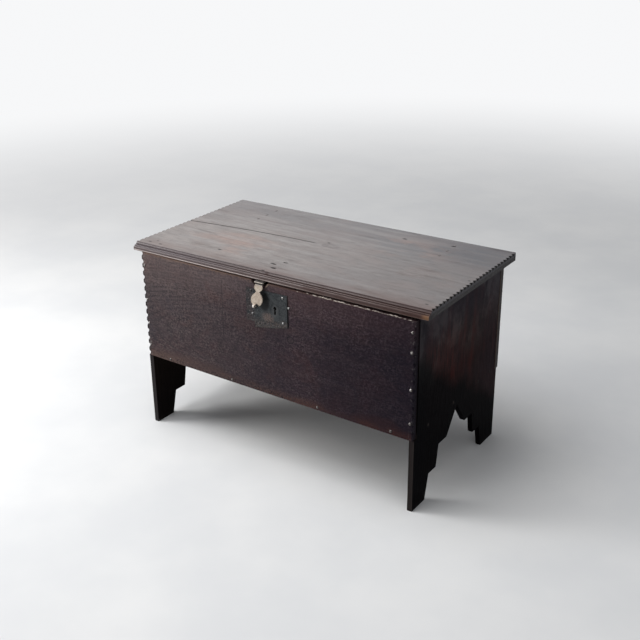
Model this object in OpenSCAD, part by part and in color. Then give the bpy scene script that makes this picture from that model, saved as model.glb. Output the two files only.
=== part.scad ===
// Six-plank coffer: a boarded oak chest with a hinged lid, run-moulded at the front and gouge-nicked
// at its ends, a front board nailed over the end boards, and an iron lock with a hanging hasp.
// +X runs to the viewer's right along the chest, +Y to its back and +Z up from the floor.
// Heights and places are written about the chest's own middle; in_frame() moves every piece so that
// the origin is on the floor, in the middle of the whole outline.

/* [Lid] */
// Length of the lid plank, end to end
lid_len = 1000; // [980:5:1060]
// Depth of the lid plank, nose to rear edge
lid_depth = 532; // [526:2:560]
// Thickness of the lid plank
lid_thick = 23; // [20:0.5:28]
// How far the lid's nose lies behind the face of the front board
nose_back = 3; // [0:0.5:5]
// Gap between the closed lid and the end boards under it
lid_gap = 0.3; // [0.2:0.1:1]
// Radius of the lid's rear corners
lid_corner_r = 8; // [4:1:14]

/* [Lid moulding] */
// Radius of the rounded nose above the flat front edge
ovolo_r = 4.5; // [3:0.5:5]
// Radius of the bead behind the nose
bead_r = 2.4; // [1.6:0.2:2.8]
// Radius of the hollow that rises to the top face
cove_r = 4.8; // [4:0.2:5.4]
// Width of the quirks beside the bead
quirk_w = 0.8; // [0.5:0.1:1.2]

/* [Gouge nicks] */
// Spacing of the nicks along the ends of the lid
lid_nick_pitch = 19.3; // [17:0.1:24]
// Radius of the gouge that cut the lid's nicks
lid_nick_r = 6.5; // [5:0.5:8]
// Depth of the nicks below the arris at the lid's left end
lid_nick_left = 2.4; // [2:0.1:4.5]
// Depth of the nicks below the arris at the lid's right end
lid_nick_right = 4.3; // [2:0.1:4.5]
// Spacing of the nicks down the ends of the front board
front_nick_pitch = 25; // [22:0.5:30]
// Radius of the gouge that cut the front board's nicks
front_nick_r = 9; // [7:0.5:11]
// Depth of the front board's nicks below the arris
front_nick_depth = 4; // [2:0.5:5]

/* [Lid split] */
// Width of the split at the left end of the lid
split_w = 1.8; // [1:0.1:3]
// Depth of the split below the top face
split_depth = 15; // [8:1:19]
// Where the split closes, from the middle of the lid
split_close_x = -40; // [-120:10:60]
// Distance of the split behind the middle of the chest where it closes
split_close_y = 33; // [20:1:45]
// How far the split bows forward by the time it reaches the left end
split_bow = 32; // [20:1:40]

/* [Carcase] */
// How far the lid reaches beyond the outer face of each end board
lid_end_overhang = 30; // [20:1:50]
// Depth from the face of the front board to the face of the back board
carcase_depth = 518; // [490:2:524]
// Height of the end boards from the floor
end_height = 573.4; // [540:1:620]
// Thickness of the end boards
end_thick = 15; // [14:0.5:22]
// Thickness of the front board
front_thick = 18; // [17:0.5:22]
// Thickness of the back board
back_thick = 18; // [17:0.5:22]
// Thickness of the bottom board
bottom_thick = 18; // [14:0.5:22]
// How far the front board stops short of each end board's outer face
front_end_inset = 3; // [1:0.5:5]
// How far the back board runs past each end board's outer face
back_end_proud = 1; // [0:0.5:4]
// Height of the front board's lower edge at the left end
front_low_left = 236; // [232:1:239]
// Height of the front board's lower edge at the right end
front_low_right = 220; // [216:1:224]
// How far the front board's top edge has dropped at the right end
front_drop = 8; // [2:1:10]
// Height of the back board's lower edge
back_low = 230; // [216:1:240]
// Height of the bottom board's underside
bottom_z = 227; // [224:1:230]
// Depth of the grooves in the end boards that hold the bottom board
housing_depth = 4; // [3:0.5:8]

/* [Legs and cut-outs] */
// How far the front edges of the legs lie behind the front board's face
leg_front_back = 2.5; // [1:0.5:8]
// How far the rear edges of the legs lie in front of the back board's face
leg_rear_back = 6.5; // [1:0.5:10]
// Distance of the middle of the cut-outs in front of the middle of the chest
cut_forward = 7.5; // [0:0.5:16]
// Half width of the cut-out at the floor
cut_floor_half = 177.5; // [165:0.5:182]
// Half width of the cut-out under its lower step
cut_leg_half = 158.5; // [150:0.5:164]
// Half width of the cut-out over its lower step
cut_step_half = 115.5; // [108:0.5:125]
// Half width of the cut-out under its upper step
cut_arch_half = 104; // [96:0.5:107]
// Half width of the pointed top at its foot
cut_point_half = 56; // [40:0.5:70]
// Height of the lower step
cut_step_z = 75; // [60:1:90]
// Height of the upper step
cut_arch_z = 143; // [120:1:160]
// Height of the point
cut_point_z = 220; // [190:1:222]

/* [Nails] */
// Width of the square shank of the nails that hold the boards
nail_shank = 3.2; // [2.4:0.1:4]
// Length of the nails that hold the boards
nail_len = 44; // [38:1:56]
// Radius of the board nails' heads
nail_head_r = 4.5; // [3:0.5:6]
// Height of the board nails' heads
nail_head_h = 1.6; // [1:0.1:3]
// Distance of the corner nails from the outer faces of the end boards
nail_inset = 12; // [8:0.5:12]
// Width of the square shank of the nails that hold the ironwork
tack_shank = 3; // [2:0.1:3.4]
// Length of the blind nails that hold the lock plate and the hinge tails
tack_len = 15; // [10:0.5:17]
// Radius of the ironwork nails' heads
tack_head_r = 4.2; // [3:0.2:5]
// Height of the ironwork nails' heads
tack_head_h = 1.5; // [1:0.1:2.5]
// Length of the clenched point that lies on top of the lid
clench_len = 8; // [5:0.5:12]
// Thickness of the clenched point
clench_h = 0.8; // [0.5:0.1:1.5]

/* [Lock plate] */
// Width of the lock plate
plate_w = 141; // [136:1:160]
// Height of the lock plate at its right edge
plate_right_h = 94.5; // [88:0.5:100]
// Height of the lock plate at its left edge, where the corner has broken away
plate_left_h = 101; // [94:0.5:106]
// Height of the lock plate where it reaches lowest
plate_low_h = 117; // [108:0.5:130]
// Width of the broken corner
plate_chip_w = 29; // [20:0.5:36]
// Thickness of the lock plate
plate_thick = 2; // [1.5:0.1:3]
// Place of the lock plate's middle, from the middle of the chest
plate_x = -2.5; // [-6:0.5:4]
// Distance of the lock plate's top edge below the end boards' tops
plate_below = 25.4; // [21.4:0.5:27.4]
// Distance of the lock plate's nails from its right edge
plate_nail_inset = 14; // [8:0.5:15]

/* [Keyhole] */
// Distance of the keyhole from the middle of the hasp
key_from_hasp = 50; // [46:0.5:54]
// Radius of the keyhole's round top
key_r = 5; // [4.5:0.1:6]
// Width of the keyhole's slot
key_slot_w = 5.6; // [5:0.1:7]
// Height of the slot below the middle of the round top
key_slot_h = 19; // [16:0.5:20]
// Radius of the pin that the hollow key turns on
key_pin_r = 2; // [1.5:0.1:2.5]
// Distance of the keyhole's round top below the middle of the bolt
key_below_bolt = 16.4; // [15:0.2:18]

/* [Lock works] */
// Width of the iron case behind the plate
case_w = 84; // [82:1:90]
// Height of the iron case
case_h = 54; // [54:1:58]
// Depth of the iron case
case_depth = 12; // [11.5:0.1:12.5]
// Wall of the iron case
case_wall = 1.5; // [1:0.1:1.8]
// Distance of the case's middle from the middle of the hasp
case_from_hasp = 25; // [24:0.5:26]
// Height of the case's middle below the middle of the bolt
case_below_bolt = 10.4; // [9.4:0.2:11]
// Height of the bolt
bolt_h = 8; // [6:0.5:9]
// Thickness of the bolt
bolt_thick = 5; // [4:0.1:5]
// Length of the bolt
bolt_len = 59; // [54:1:60]
// Travel of the bolt
bolt_travel = 12; // [10:0.5:12.5]

/* [Hasp] */
// Place of the hasp's middle, from the middle of the chest
hasp_x = -23; // [-26:0.5:-20]
// Angle at which the hasp hangs out from the lock plate
hasp_tilt = 16; // [15:0.5:22]
// Thickness of the hasp
hasp_thick = 3; // [2.5:0.1:3.2]
// Width of the hasp at its knuckle
hasp_w = 28; // [26:0.5:30]
// Width of the hasp's waist
hasp_waist_w = 12; // [10:0.2:14]
// Distance of the waist below the hinge pin
hasp_waist_drop = 25; // [24:0.5:27]
// Radius of the hasp's round end
hasp_round_r = 19.2; // [18:0.2:20]
// Distance of the round end's middle below the hinge pin
hasp_round_drop = 47.8; // [47:0.2:49]
// Outer radius of the hasp's knuckle
hasp_barrel_r = 4; // [3.5:0.1:4.4]
// Radius of the hasp's hinge pin
hasp_pin_r = 1.5; // [1.2:0.1:2]
// Radius of the curled finger lift
curl_r = 5; // [4.6:0.1:5.4]
// Length of the curled finger lift
curl_len = 11; // [8:0.5:14]
// Thickness of the strip that the finger lift is rolled from
curl_wall = 1.4; // [1.2:0.1:1.8]
// Distance of the finger lift to the left of the hasp's middle
curl_left = 0.5; // [0:0.5:3]
// Length of the strap that holds the hasp under the lid
hasp_strap_len = 122; // [116:1:140]

/* [Staple] */
// Thickness of the staple on the back of the hasp
staple_thick = 5; // [4:0.1:6]
// Distance of the staple's middle below the hinge pin
staple_drop = 50; // [49:0.5:51]
// Wall of the staple round its eye
staple_wall = 3; // [2:0.1:3]

/* [Hinges] */
// Distance of each hinge from the outer face of the end board beside it
hinge_from_end = 145; // [90:5:200]
// Width of the hinge straps
hinge_w = 30; // [26:1:36]
// Thickness of all the iron straps
strap_thick = 3; // [2:0.1:3.2]
// Length of the lid straps from the hinge pin
hinge_strap_len = 165; // [155:1:200]
// Length of the tails down the back board from the hinge pin
hinge_tail_len = 130; // [120:1:170]
// Outer radius of the hinge knuckles
hinge_barrel_r = 6; // [5:0.1:6.5]
// Radius of the hinge pins
hinge_pin_r = 2.5; // [2:0.1:3]

/* [Hidden] */
$fn = 32;

lid_colour = "#6f625a";
front_colour = "#59433b";
end_colour = "#37302e";
back_colour = "#4a3c36";
bottom_colour = "#6a5648";
iron_colour = "#3b4041";
nail_colour = "#55565a";
hasp_colour = "#cbbda2";

// Clearances
fit = 0.1;          // a nail's shank or a board in its seat
slip = 0.3;         // pieces that move past each other
pin_fit = 0.05;     // a hinge pin in its knuckles, on the radius
over = 1;           // how far a cutting shape runs past what it cuts

// Faces of the carcase
end_outer = lid_len / 2 - lid_end_overhang;
end_inner = end_outer - end_thick;
front_y = -carcase_depth / 2;
back_y = carcase_depth / 2;
front_inner_y = front_y + front_thick;
back_inner_y = back_y - back_thick;
leg_front_y = front_y + leg_front_back;
leg_back_y = back_y - leg_rear_back;
front_half = end_outer - front_end_inset;
back_half = end_outer + back_end_proud;
front_slope = (front_low_right - front_low_left) / (2 * front_half);
function front_low(x) = front_low_left + front_slope * (x + front_half);
function front_top(x) = end_height - front_drop * (x + front_half) / (2 * front_half);

// Faces of the lid
lid_under_z = end_height + lid_gap;
lid_top_z = lid_under_z + lid_thick;
lid_nose_y = front_y + nose_back;
lid_rear_y = lid_nose_y + lid_depth;
lid_half = lid_len / 2;

// Rows of nicks
lid_nick_first = 26;        // from the nose to the first nick
lid_nick_spare = 20;        // least distance from the last nick to the rear edge
lid_nicks = floor((lid_depth - lid_nick_first - lid_nick_spare) / lid_nick_pitch) + 1;
front_nick_first = 8;       // from the left end's lower corner to the first nick
front_nick_spare = 4;       // least distance from the highest nick to the top edge
front_nick_z = front_low_left + front_nick_first;
function front_nicks(side) =
    floor((front_top(side * front_half) - front_nick_spare - front_nick_z) / front_nick_pitch) + 1;

// Nails that hold the boards: heights of the corner nails, places of the others
corner_nails_left = [273, 345, 423, 533];
corner_nails_right = [270, 370, 476, 533];
corner_nails_back = [260, 350, 440, 530];
low_nails_x = [-380, -139, 164, 400];
low_nail_follow = 0.8;      // how much of the lower edge's slope the row of nails follows
end_nails_y = [-180, -30, 126, 203];
bottom_mid_z = bottom_z + bottom_thick / 2;
function low_nail_z(x) = bottom_mid_z + front_slope * x * low_nail_follow;

// Hasp hinge, under the lid's nose and clear of the lock plate and of the front board
plate_front_y = front_y - plate_thick;
hasp_back_y = plate_front_y - slip;
hasp_axis_y = hasp_back_y - hasp_thick / 2 - 0.6;
hasp_axis_z = lid_under_z - hasp_barrel_r - slip;
hasp_front = hasp_back_y - hasp_thick - hasp_axis_y;
hasp_knuckle_w = (hasp_w - 2 * slip) / 3;
curl_hang = 3.7;            // how far the curl hangs below the round end
curl_drop = hasp_round_drop + hasp_round_r - curl_r + curl_hang;
curl_sink = 1.2;            // how deep the curl is forged into the hasp's face
curl_y = hasp_front - curl_r + curl_sink;

// Bolt, staple, slot and keyhole
bolt_z = hasp_axis_z - staple_drop;
bolt_front_y = front_y + slip;
staple_eye_h = bolt_h + 2 * slip;
staple_half_h = staple_eye_h / 2 + staple_wall;
staple_back_y = bolt_front_y + bolt_thick + slip + 0.8 * staple_wall;
slot_w = staple_thick + 1;
slot_rise = staple_half_h + slip;
slot_fall = staple_half_h + 2.2;
bolt_nose_x = hasp_x + staple_thick / 2 + 1;
bolt_notch_w = 10;
bolt_notch_h = 3;
key_x = hasp_x + key_from_hasp;
key_z = bolt_z - key_below_bolt;
plate_top_z = end_height - plate_below;
plate_left = plate_x - plate_w / 2;
plate_right = plate_x + plate_w / 2;
plate_bend_w = 38.07;          // from the plate's right edge to the bend in its lower edge
plate_bend_fall = 9.45;      // from the right lower corner down to that bend
plate_nail_drop = 9;        // from the plate's top edge to its upper nails
plate_nail_rise = 10;       // from the right lower corner to the nail over it
plate_nails = [[plate_left + plate_nail_inset + 4, plate_top_z - plate_nail_drop],
    [plate_right - plate_nail_inset, plate_top_z - plate_nail_drop],
    [plate_right - plate_nail_inset, plate_top_z - plate_right_h + plate_nail_rise],
    [plate_left + plate_nail_inset + 8, plate_top_z - plate_left_h + 2.3 * plate_nail_rise]];
case_x = hasp_x + case_from_hasp;
case_z = bolt_z - case_below_bolt;
case_back_y = front_y + case_depth;
case_inner_y = case_back_y - case_wall;
case_ceiling_z = case_z + case_h / 2 - case_wall;
pocket_spare = 0.5;         // room round the case in its pocket
pocket_depth = case_depth + 1;
guides_x = [bolt_nose_x + 6.5, bolt_nose_x + 29.5];
guide_w = 4;
guide_wall = 2;
ward_r = 9;
ward_thick = 1.5;
ward_len = 4.5;
ward_gap = 6;
spring_thick = 1;
spring_foot = 7;
spring_clear = 1;           // from the second guide to the spring's tip
side_nail_x = plate_right + tack_head_r + slip; // the nail that missed the lock plate
side_nail_z = key_z + 9;

// Notch in the top of the front board that clears the hasp's knuckle
notch_left = 35;            // from the hasp's middle to the notch's top left corner
notch_right = 27;           // from the hasp's middle to its top right corner
notch_floor_left = 21;
notch_floor_right = 15;
notch_floor_z = hasp_axis_z - 13.4;

// Lid hinges, behind the back board and under the lid's rear edge
hinge_x = end_outer - hinge_from_end;
hinge_axis_y = back_y + hinge_barrel_r + slip;
hinge_axis_z = lid_under_z - hinge_barrel_r - 0.4;
hinge_knuckle_w = (hinge_w - 2 * slip) / 3;
hinge_taper = 5;            // how much each side of a strap narrows towards its tip
strap_under_z = lid_under_z - strap_thick;
strap_nails_y = [38, 88, 136];
tail_nails_z = [34, 70, 106];
hasp_strap_nails_at = [[-8, 26], [8, 57], [-8, 82], [8, 108]];

// Moves every piece so that the origin is in the middle of the outline, on the floor
outline_front_y = hasp_axis_y + curl_y * cos(hasp_tilt) - curl_drop * sin(hasp_tilt) - curl_r;
frame_y = -(outline_front_y + lid_rear_y) / 2;
module in_frame() {
    translate([0, frame_y, 0]) children();
}

// A forged nail, head on the z = 0 face and shank below it
module nail(len, shank, head_r, head_h) {
    cylinder(h = head_h, r1 = head_r, r2 = 0.45 * head_r);
    translate([-shank / 2, -shank / 2, -len]) cube([shank, shank, len + head_h / 2]);
}

// The square hole that a nail is driven into
module nail_hole(len, shank) {
    side = shank + fit;
    translate([-side / 2, -side / 2, -len - fit]) cube([side, side, len + fit + over]);
}

module board_nail() {
    nail(nail_len, nail_shank, nail_head_r, nail_head_h);
}

module board_nail_hole() {
    nail_hole(nail_len, nail_shank);
}

module tack() {
    nail(tack_len, tack_shank, tack_head_r, tack_head_h);
}

module tack_hole() {
    nail_hole(tack_len, tack_shank);
}

// A nail driven up through a strap and the lid, its point hammered flat on the lid's top
module clenched_nail() {
    drive = strap_thick + lid_thick;
    rotate([180, 0, 0]) nail(drive, tack_shank, tack_head_r, tack_head_h);
    translate([-tack_shank / 2, -tack_shank / 2, drive]) cube([clench_len, tack_shank, clench_h]);
}

module clenched_hole() {
    rotate([180, 0, 0]) nail_hole(strap_thick + lid_thick + over, tack_shank);
}

// Places of the nails through the front board
module at_front_nails() {
    for (z = corner_nails_left)
        translate([-end_outer + nail_inset, front_y, z]) rotate([90, 0, 0]) children();
    for (z = corner_nails_right)
        translate([end_outer - nail_inset, front_y, z]) rotate([90, 0, 0]) children();
    for (x = low_nails_x)
        translate([x, front_y, low_nail_z(x)]) rotate([90, 0, 0]) children();
}

// Places of the nails through the back board
module at_back_nails() {
    for (side = [-1, 1], z = corner_nails_back)
        translate([side * (end_inner + end_thick / 2), back_y, z]) rotate([-90, 0, 0]) children();
    for (x = low_nails_x)
        translate([x, back_y, bottom_mid_z]) rotate([-90, 0, 0]) children();
}

// Places of the nails through the end boards into the bottom board
module at_end_nails() {
    for (side = [-1, 1], y = end_nails_y)
        translate([side * end_outer, y, bottom_mid_z]) rotate([0, side * 90, 0]) children();
}

// Places of the nails round the lock plate, and of the one that missed it
module at_lock_nails() {
    for (p = plate_nails)
        translate([p[0], plate_front_y, p[1]]) rotate([90, 0, 0]) children();
}

module at_side_nail() {
    translate([side_nail_x, front_y, side_nail_z]) rotate([90, 0, 0]) children();
}

module at_hasp_strap_nails() {
    for (p = hasp_strap_nails_at)
        translate([hasp_x + p[0], hasp_axis_y + p[1], strap_under_z]) children();
}

module at_hinge_strap_nails() {
    for (side = [-1, 1], d = strap_nails_y)
        translate([side * hinge_x, hinge_axis_y - d, strap_under_z]) rotate([0, 0, 90]) children();
}

module at_hinge_tail_nails() {
    for (side = [-1, 1], d = tail_nails_z)
        translate([side * hinge_x, back_y + strap_thick, hinge_axis_z - d])
            rotate([-90, 0, 0]) children();
}

// Points of an arc about a centre, from one angle to another
function arc(centre, r, from, to, steps) =
    [for (i = [0:steps]) let (a = from + (to - from) * i / steps) centre + r * [cos(a), sin(a)]];

// Section of the lid, drawn as depth behind the nose against height above the underside:
// a flat edge, a rounded nose, a bead between two quirks, and a hollow up to the top face
ease = 1;
cove_top = lid_thick - 0.8;
nose_flat = cove_top - cove_r - bead_r - ovolo_r - 3;
bead_centre = [ovolo_r + quirk_w + bead_r, nose_flat + ovolo_r + 0.8];
cove_centre = [bead_centre[0] + bead_r + quirk_w, cove_top];
rear_round = 3;
function lid_section() = concat(
    [[ease, 0], [0, ease]],
    arc([ovolo_r, nose_flat], ovolo_r, 180, 90, 8),
    [[ovolo_r + quirk_w / 2, nose_flat + ovolo_r - 1.2]],
    arc(bead_centre, bead_r, 200, 45, 8),
    [[cove_centre[0] - quirk_w / 2, bead_centre[1] + 0.6]],
    arc(cove_centre, cove_r, -90, 0, 8),
    [[cove_centre[0] + cove_r, lid_thick]],
    arc([lid_depth - rear_round, lid_thick - rear_round], rear_round, 90, 0, 4),
    [[lid_depth, ease], [lid_depth - ease, 0]]);

// The long shake in the lid, open at the left end and closed near the middle
split_run = lid_half + split_close_x;
split_steps = 12;
function split_y(x) = split_close_y - split_bow * pow((split_close_x - x) / split_run, 2);
function split_half(x) = split_w / 2 * (split_close_x - x) / split_run;
function split_side(sign) = [for (i = [0:split_steps])
    let (x = split_close_x - (split_run + over) * i / split_steps)
        [x, split_y(x) + sign * split_half(x)]];
module split_cut() {
    upper = split_side(1);
    lower = split_side(-1);
    outline = concat(upper, [for (i = [split_steps:-1:1]) lower[i]]);
    translate([0, 0, lid_top_z - split_depth])
        linear_extrude(split_depth + over) polygon(outline);
}

// A scoop across an arris: the gouge's middle stays outside the corner by r - depth
module nick(r, depth) {
    translate([0, 0, r - depth]) rotate([0, 90, 0]) cylinder(h = 4 * r, r = r, center = true);
}

module lid_nicks() {
    for (side = [-1, 1], i = [0:lid_nicks - 1])
        translate([side * lid_half, lid_nose_y + lid_nick_first + i * lid_nick_pitch, lid_top_z])
            rotate([0, side * 45, 0]) nick(lid_nick_r, side > 0 ? lid_nick_right : lid_nick_left);
}

// The lid's rear corners, as the waste outside the rounded corner
module lid_corner_waste() {
    for (side = [-1, 1])
        translate([side * (lid_half - lid_corner_r), lid_rear_y - lid_corner_r, lid_under_z - over])
            difference() {
                translate([side > 0 ? 0 : -lid_corner_r - over, 0, 0])
                    cube([lid_corner_r + over, lid_corner_r + over, lid_thick + 2 * over]);
                translate([0, 0, -over]) cylinder(h = lid_thick + 4 * over, r = lid_corner_r);
            }
}

module lid() {
    color(lid_colour) in_frame() difference() {
        translate([-lid_half, lid_nose_y, lid_under_z])
            rotate([90, 0, 90]) linear_extrude(lid_len) polygon(lid_section());
        lid_nicks();
        lid_corner_waste();
        split_cut();
        at_hasp_strap_nails() clenched_hole();
        at_hinge_strap_nails() clenched_hole();
    }
}

module front_nicks_cut() {
    for (side = [-1, 1], i = [0:front_nicks(side) - 1])
        translate([side * front_half, front_y, front_nick_z + i * front_nick_pitch])
            rotate([0, 0, side * 45]) rotate([90, 0, 0]) nick(front_nick_r, front_nick_depth);
}

module front_board() {
    lip = front_top(hasp_x) + 2 * over;
    color(front_colour) in_frame() difference() {
        translate([0, front_inner_y, 0]) rotate([90, 0, 0]) linear_extrude(front_thick)
            difference() {
                polygon([[-front_half, front_low_left], [front_half, front_low_right],
                    [front_half, front_top(front_half)], [-front_half, front_top(-front_half)]]);
                polygon([[hasp_x - notch_left, lip], [hasp_x - notch_floor_left, notch_floor_z],
                    [hasp_x + notch_floor_right, notch_floor_z], [hasp_x + notch_right, lip]]);
            }
        front_nicks_cut();
        translate([case_x - case_w / 2 - pocket_spare, front_y - over,
            case_z - case_h / 2 - pocket_spare])
            cube([case_w + 2 * pocket_spare, pocket_depth + over, case_h + 2 * pocket_spare]);
        at_front_nails() board_nail_hole();
        at_lock_nails() tack_hole();
        at_side_nail() tack_hole();
    }
}

module back_board() {
    color(back_colour) in_frame() difference() {
        translate([-back_half, back_inner_y, back_low])
            cube([2 * back_half, back_thick, end_height - back_low]);
        for (side = [-1, 1])
            translate([side * hinge_x - hinge_w / 2 - slip, back_inner_y - over, strap_under_z - slip])
                cube([hinge_w + 2 * slip, back_thick + 2 * over, strap_thick + over]);
        at_back_nails() board_nail_hole();
        at_hinge_tail_nails() tack_hole();
    }
}

// Half of the cut-out between the legs, from the floor up to the point
function cut_half(side) = [for (p = [[cut_floor_half, 0], [cut_leg_half, cut_step_z],
    [cut_step_half, cut_step_z], [cut_arch_half, cut_arch_z], [cut_point_half, cut_arch_z]])
        [-cut_forward + side * p[0], p[1]]];

// Outline of an end board seen from its side, y against z, notched for the front and back boards
function end_outline(shoulder) = concat(
    [[leg_front_y, 0], [leg_front_y, shoulder], [front_inner_y, shoulder],
        [front_inner_y, end_height], [back_inner_y, end_height], [back_inner_y, back_low],
        [leg_back_y, back_low], [leg_back_y, 0]],
    cut_half(1),
    [[-cut_forward, cut_point_z]],
    [for (i = [4:-1:0]) cut_half(-1)[i]]);

module end_board(side) {
    // The front board's sloping lower edge rests on this shoulder
    shoulder = min(front_low(side * end_outer), front_low(side * end_inner));
    color(end_colour) in_frame() difference() {
        translate([side > 0 ? end_inner : -end_outer, 0, 0])
            rotate([90, 0, 90]) linear_extrude(end_thick) polygon(end_outline(shoulder));
        translate([side > 0 ? end_inner - over : -end_inner - housing_depth - fit,
            front_inner_y - over, bottom_z])
            cube([housing_depth + fit + over, back_inner_y - front_inner_y + 2 * over,
                bottom_thick + fit]);
        at_front_nails() board_nail_hole();
        at_back_nails() board_nail_hole();
        at_end_nails() board_nail_hole();
    }
}

module left_end_board() {
    end_board(-1);
}

module right_end_board() {
    end_board(1);
}

module bottom_board() {
    color(bottom_colour) in_frame() difference() {
        translate([-end_inner - housing_depth, front_inner_y, bottom_z])
            cube([2 * (end_inner + housing_depth), back_inner_y - front_inner_y, bottom_thick]);
        at_front_nails() board_nail_hole();
        at_back_nails() board_nail_hole();
        at_end_nails() board_nail_hole();
    }
}

module front_nails() {
    color(nail_colour) in_frame() at_front_nails() board_nail();
}

module back_nails() {
    color(nail_colour) in_frame() at_back_nails() board_nail();
}

module bottom_end_nails() {
    color(nail_colour) in_frame() at_end_nails() board_nail();
}

// Keyhole outline, x against z about the middle of its round top
module keyhole() {
    circle(r = key_r);
    translate([-key_slot_w / 2, -key_slot_h]) square([key_slot_w, key_slot_h]);
}

// Outline of the lock plate, cut by eye: its lower edge falls to the left and a corner is gone
module plate_outline() {
    chip_x = plate_left + plate_chip_w;
    polygon([[plate_left, plate_top_z - 1], [plate_right, plate_top_z],
        [plate_right, plate_top_z - plate_right_h],
        [plate_right - plate_bend_w, plate_top_z - plate_right_h - plate_bend_fall],
        [chip_x, plate_top_z - plate_low_h],
        [chip_x - 2, plate_top_z - plate_left_h], [plate_left, plate_top_z - plate_left_h + 1]]);
}

module lock_plate() {
    color(iron_colour) in_frame() difference() {
        translate([0, front_y, 0]) rotate([90, 0, 0])
            linear_extrude(plate_thick) plate_outline();
        translate([key_x, front_y + over, key_z])
            rotate([90, 0, 0]) linear_extrude(plate_thick + 2 * over) keyhole();
        translate([hasp_x - slot_w / 2, plate_front_y - over, bolt_z - slot_fall])
            cube([slot_w, plate_thick + 2 * over, slot_rise + slot_fall]);
        at_lock_nails() tack_hole();
    }
}

module lock_plate_nails() {
    color(nail_colour) in_frame() {
        at_lock_nails() tack();
        at_side_nail() tack();
    }
}

module lock_case() {
    color(iron_colour) in_frame() difference() {
        translate([case_x - case_w / 2, front_y, case_z - case_h / 2])
            cube([case_w, case_depth, case_h]);
        translate([case_x - case_w / 2 + case_wall, front_y - over, case_z - case_h / 2 + case_wall])
            cube([case_w - 2 * case_wall, case_depth - case_wall + over, case_h - 2 * case_wall]);
    }
}

// The bolt, drawn back; it slides left through the staple's eye when the key is turned
module lock_bolt() {
    color(iron_colour) in_frame() difference() {
        translate([bolt_nose_x, bolt_front_y, bolt_z - bolt_h / 2])
            cube([bolt_len, bolt_thick, bolt_h]);
        translate([key_x + bolt_travel / 2 - bolt_notch_w / 2, bolt_front_y - over,
            bolt_z - bolt_h / 2 - over])
            cube([bolt_notch_w, bolt_thick + 2 * over, bolt_notch_h + over]);
    }
}

module bolt_guides() {
    color(iron_colour) in_frame() for (x = guides_x)
        translate([x - guide_w / 2, front_y, bolt_z]) difference() {
            translate([0, 0, -bolt_h / 2 - slip - guide_wall])
                cube([guide_w, bolt_thick + 2 * slip + guide_wall, bolt_h + 2 * (slip + guide_wall)]);
            translate([-over, -over, -bolt_h / 2 - slip])
                cube([guide_w + 2 * over, bolt_thick + 2 * slip + over, bolt_h + 2 * slip]);
        }
}

// A leaf spring, its foot riveted under the case's top wall and its tip pressing on the bolt
module bolt_spring() {
    tip_z = bolt_z + bolt_h / 2 + slip;
    rise = case_ceiling_z - spring_thick - tip_z;
    tip_x = guides_x[1] + guide_w / 2 + spring_clear;
    foot_x = case_x + case_w / 2 - case_wall - spring_foot - 1;
    steps = 8;
    curve = [for (i = [0:steps]) [tip_x + (foot_x - tip_x) * i / steps, tip_z + rise * pow(i / steps, 2)]];
    upper = [for (i = [steps:-1:0]) curve[i] + [0, spring_thick]];
    end = [[foot_x + spring_foot, case_ceiling_z - spring_thick], [foot_x + spring_foot, case_ceiling_z]];
    color(iron_colour) in_frame() translate([0, bolt_front_y + bolt_thick, 0])
        rotate([90, 0, 0]) linear_extrude(bolt_thick - slip) polygon(concat(curve, end, upper));
}

module key_pin() {
    color(iron_colour) in_frame() translate([key_x, case_inner_y, key_z])
        rotate([90, 0, 0]) cylinder(h = case_inner_y - plate_front_y - plate_thick / 2, r = key_pin_r);
}

// A ring of sheet iron that only the right key's bit can pass, open at the bottom for the bit
module key_ward() {
    color(iron_colour) in_frame() translate([key_x, case_inner_y, key_z]) rotate([90, 0, 0])
        difference() {
            cylinder(h = ward_len, r = ward_r);
            translate([0, 0, -over]) cylinder(h = ward_len + 2 * over, r = ward_r - ward_thick);
            translate([-ward_gap / 2, -ward_r - over, -over])
                cube([ward_gap, ward_r + over, ward_len + 2 * over]);
        }
}

// A knuckle about the x axis with the finger of strap that runs into it: the finger is a square
// in y and z, given by its low corner and its size
module knuckle(x, w, r, pin_r, corner, size) {
    translate([x - w / 2, 0, 0]) rotate([90, 0, 90]) linear_extrude(w) difference() {
        union() {
            circle(r = r);
            translate(corner) square(size);
        }
        circle(r = pin_r + pin_fit);
    }
}

// Moves a piece drawn about the hasp's hinge pin, z down the closed hasp, to where it hangs
module at_hasp() {
    translate([hasp_x, hasp_axis_y, hasp_axis_z]) rotate([-hasp_tilt, 0, 0]) children();
}

// Outline of the hasp below its knuckle, x against z
module hasp_outline() {
    top = hasp_barrel_r + 0.8;
    shoulder = hasp_waist_drop - 7;
    waist = hasp_waist_w / 2;
    side = [[hasp_w / 2 - 2, -top], [hasp_w / 2, -shoulder + 4], [hasp_w / 2 - 1.2, -shoulder],
        [hasp_w / 2 - 3.4, -shoulder - 3], [waist + 1.4, -hasp_waist_drop + 1.4],
        [waist, -hasp_waist_drop], [waist + 0.8, -hasp_waist_drop - 2.4],
        [waist + 3.4, -hasp_waist_drop - 5.2], [waist + 1.4, -hasp_round_drop]];
    polygon(concat(side, [for (i = [len(side) - 1:-1:0]) [-side[i][0], side[i][1]]]));
    translate([0, -hasp_round_drop]) circle(r = hasp_round_r, $fn = 64);
}

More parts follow.
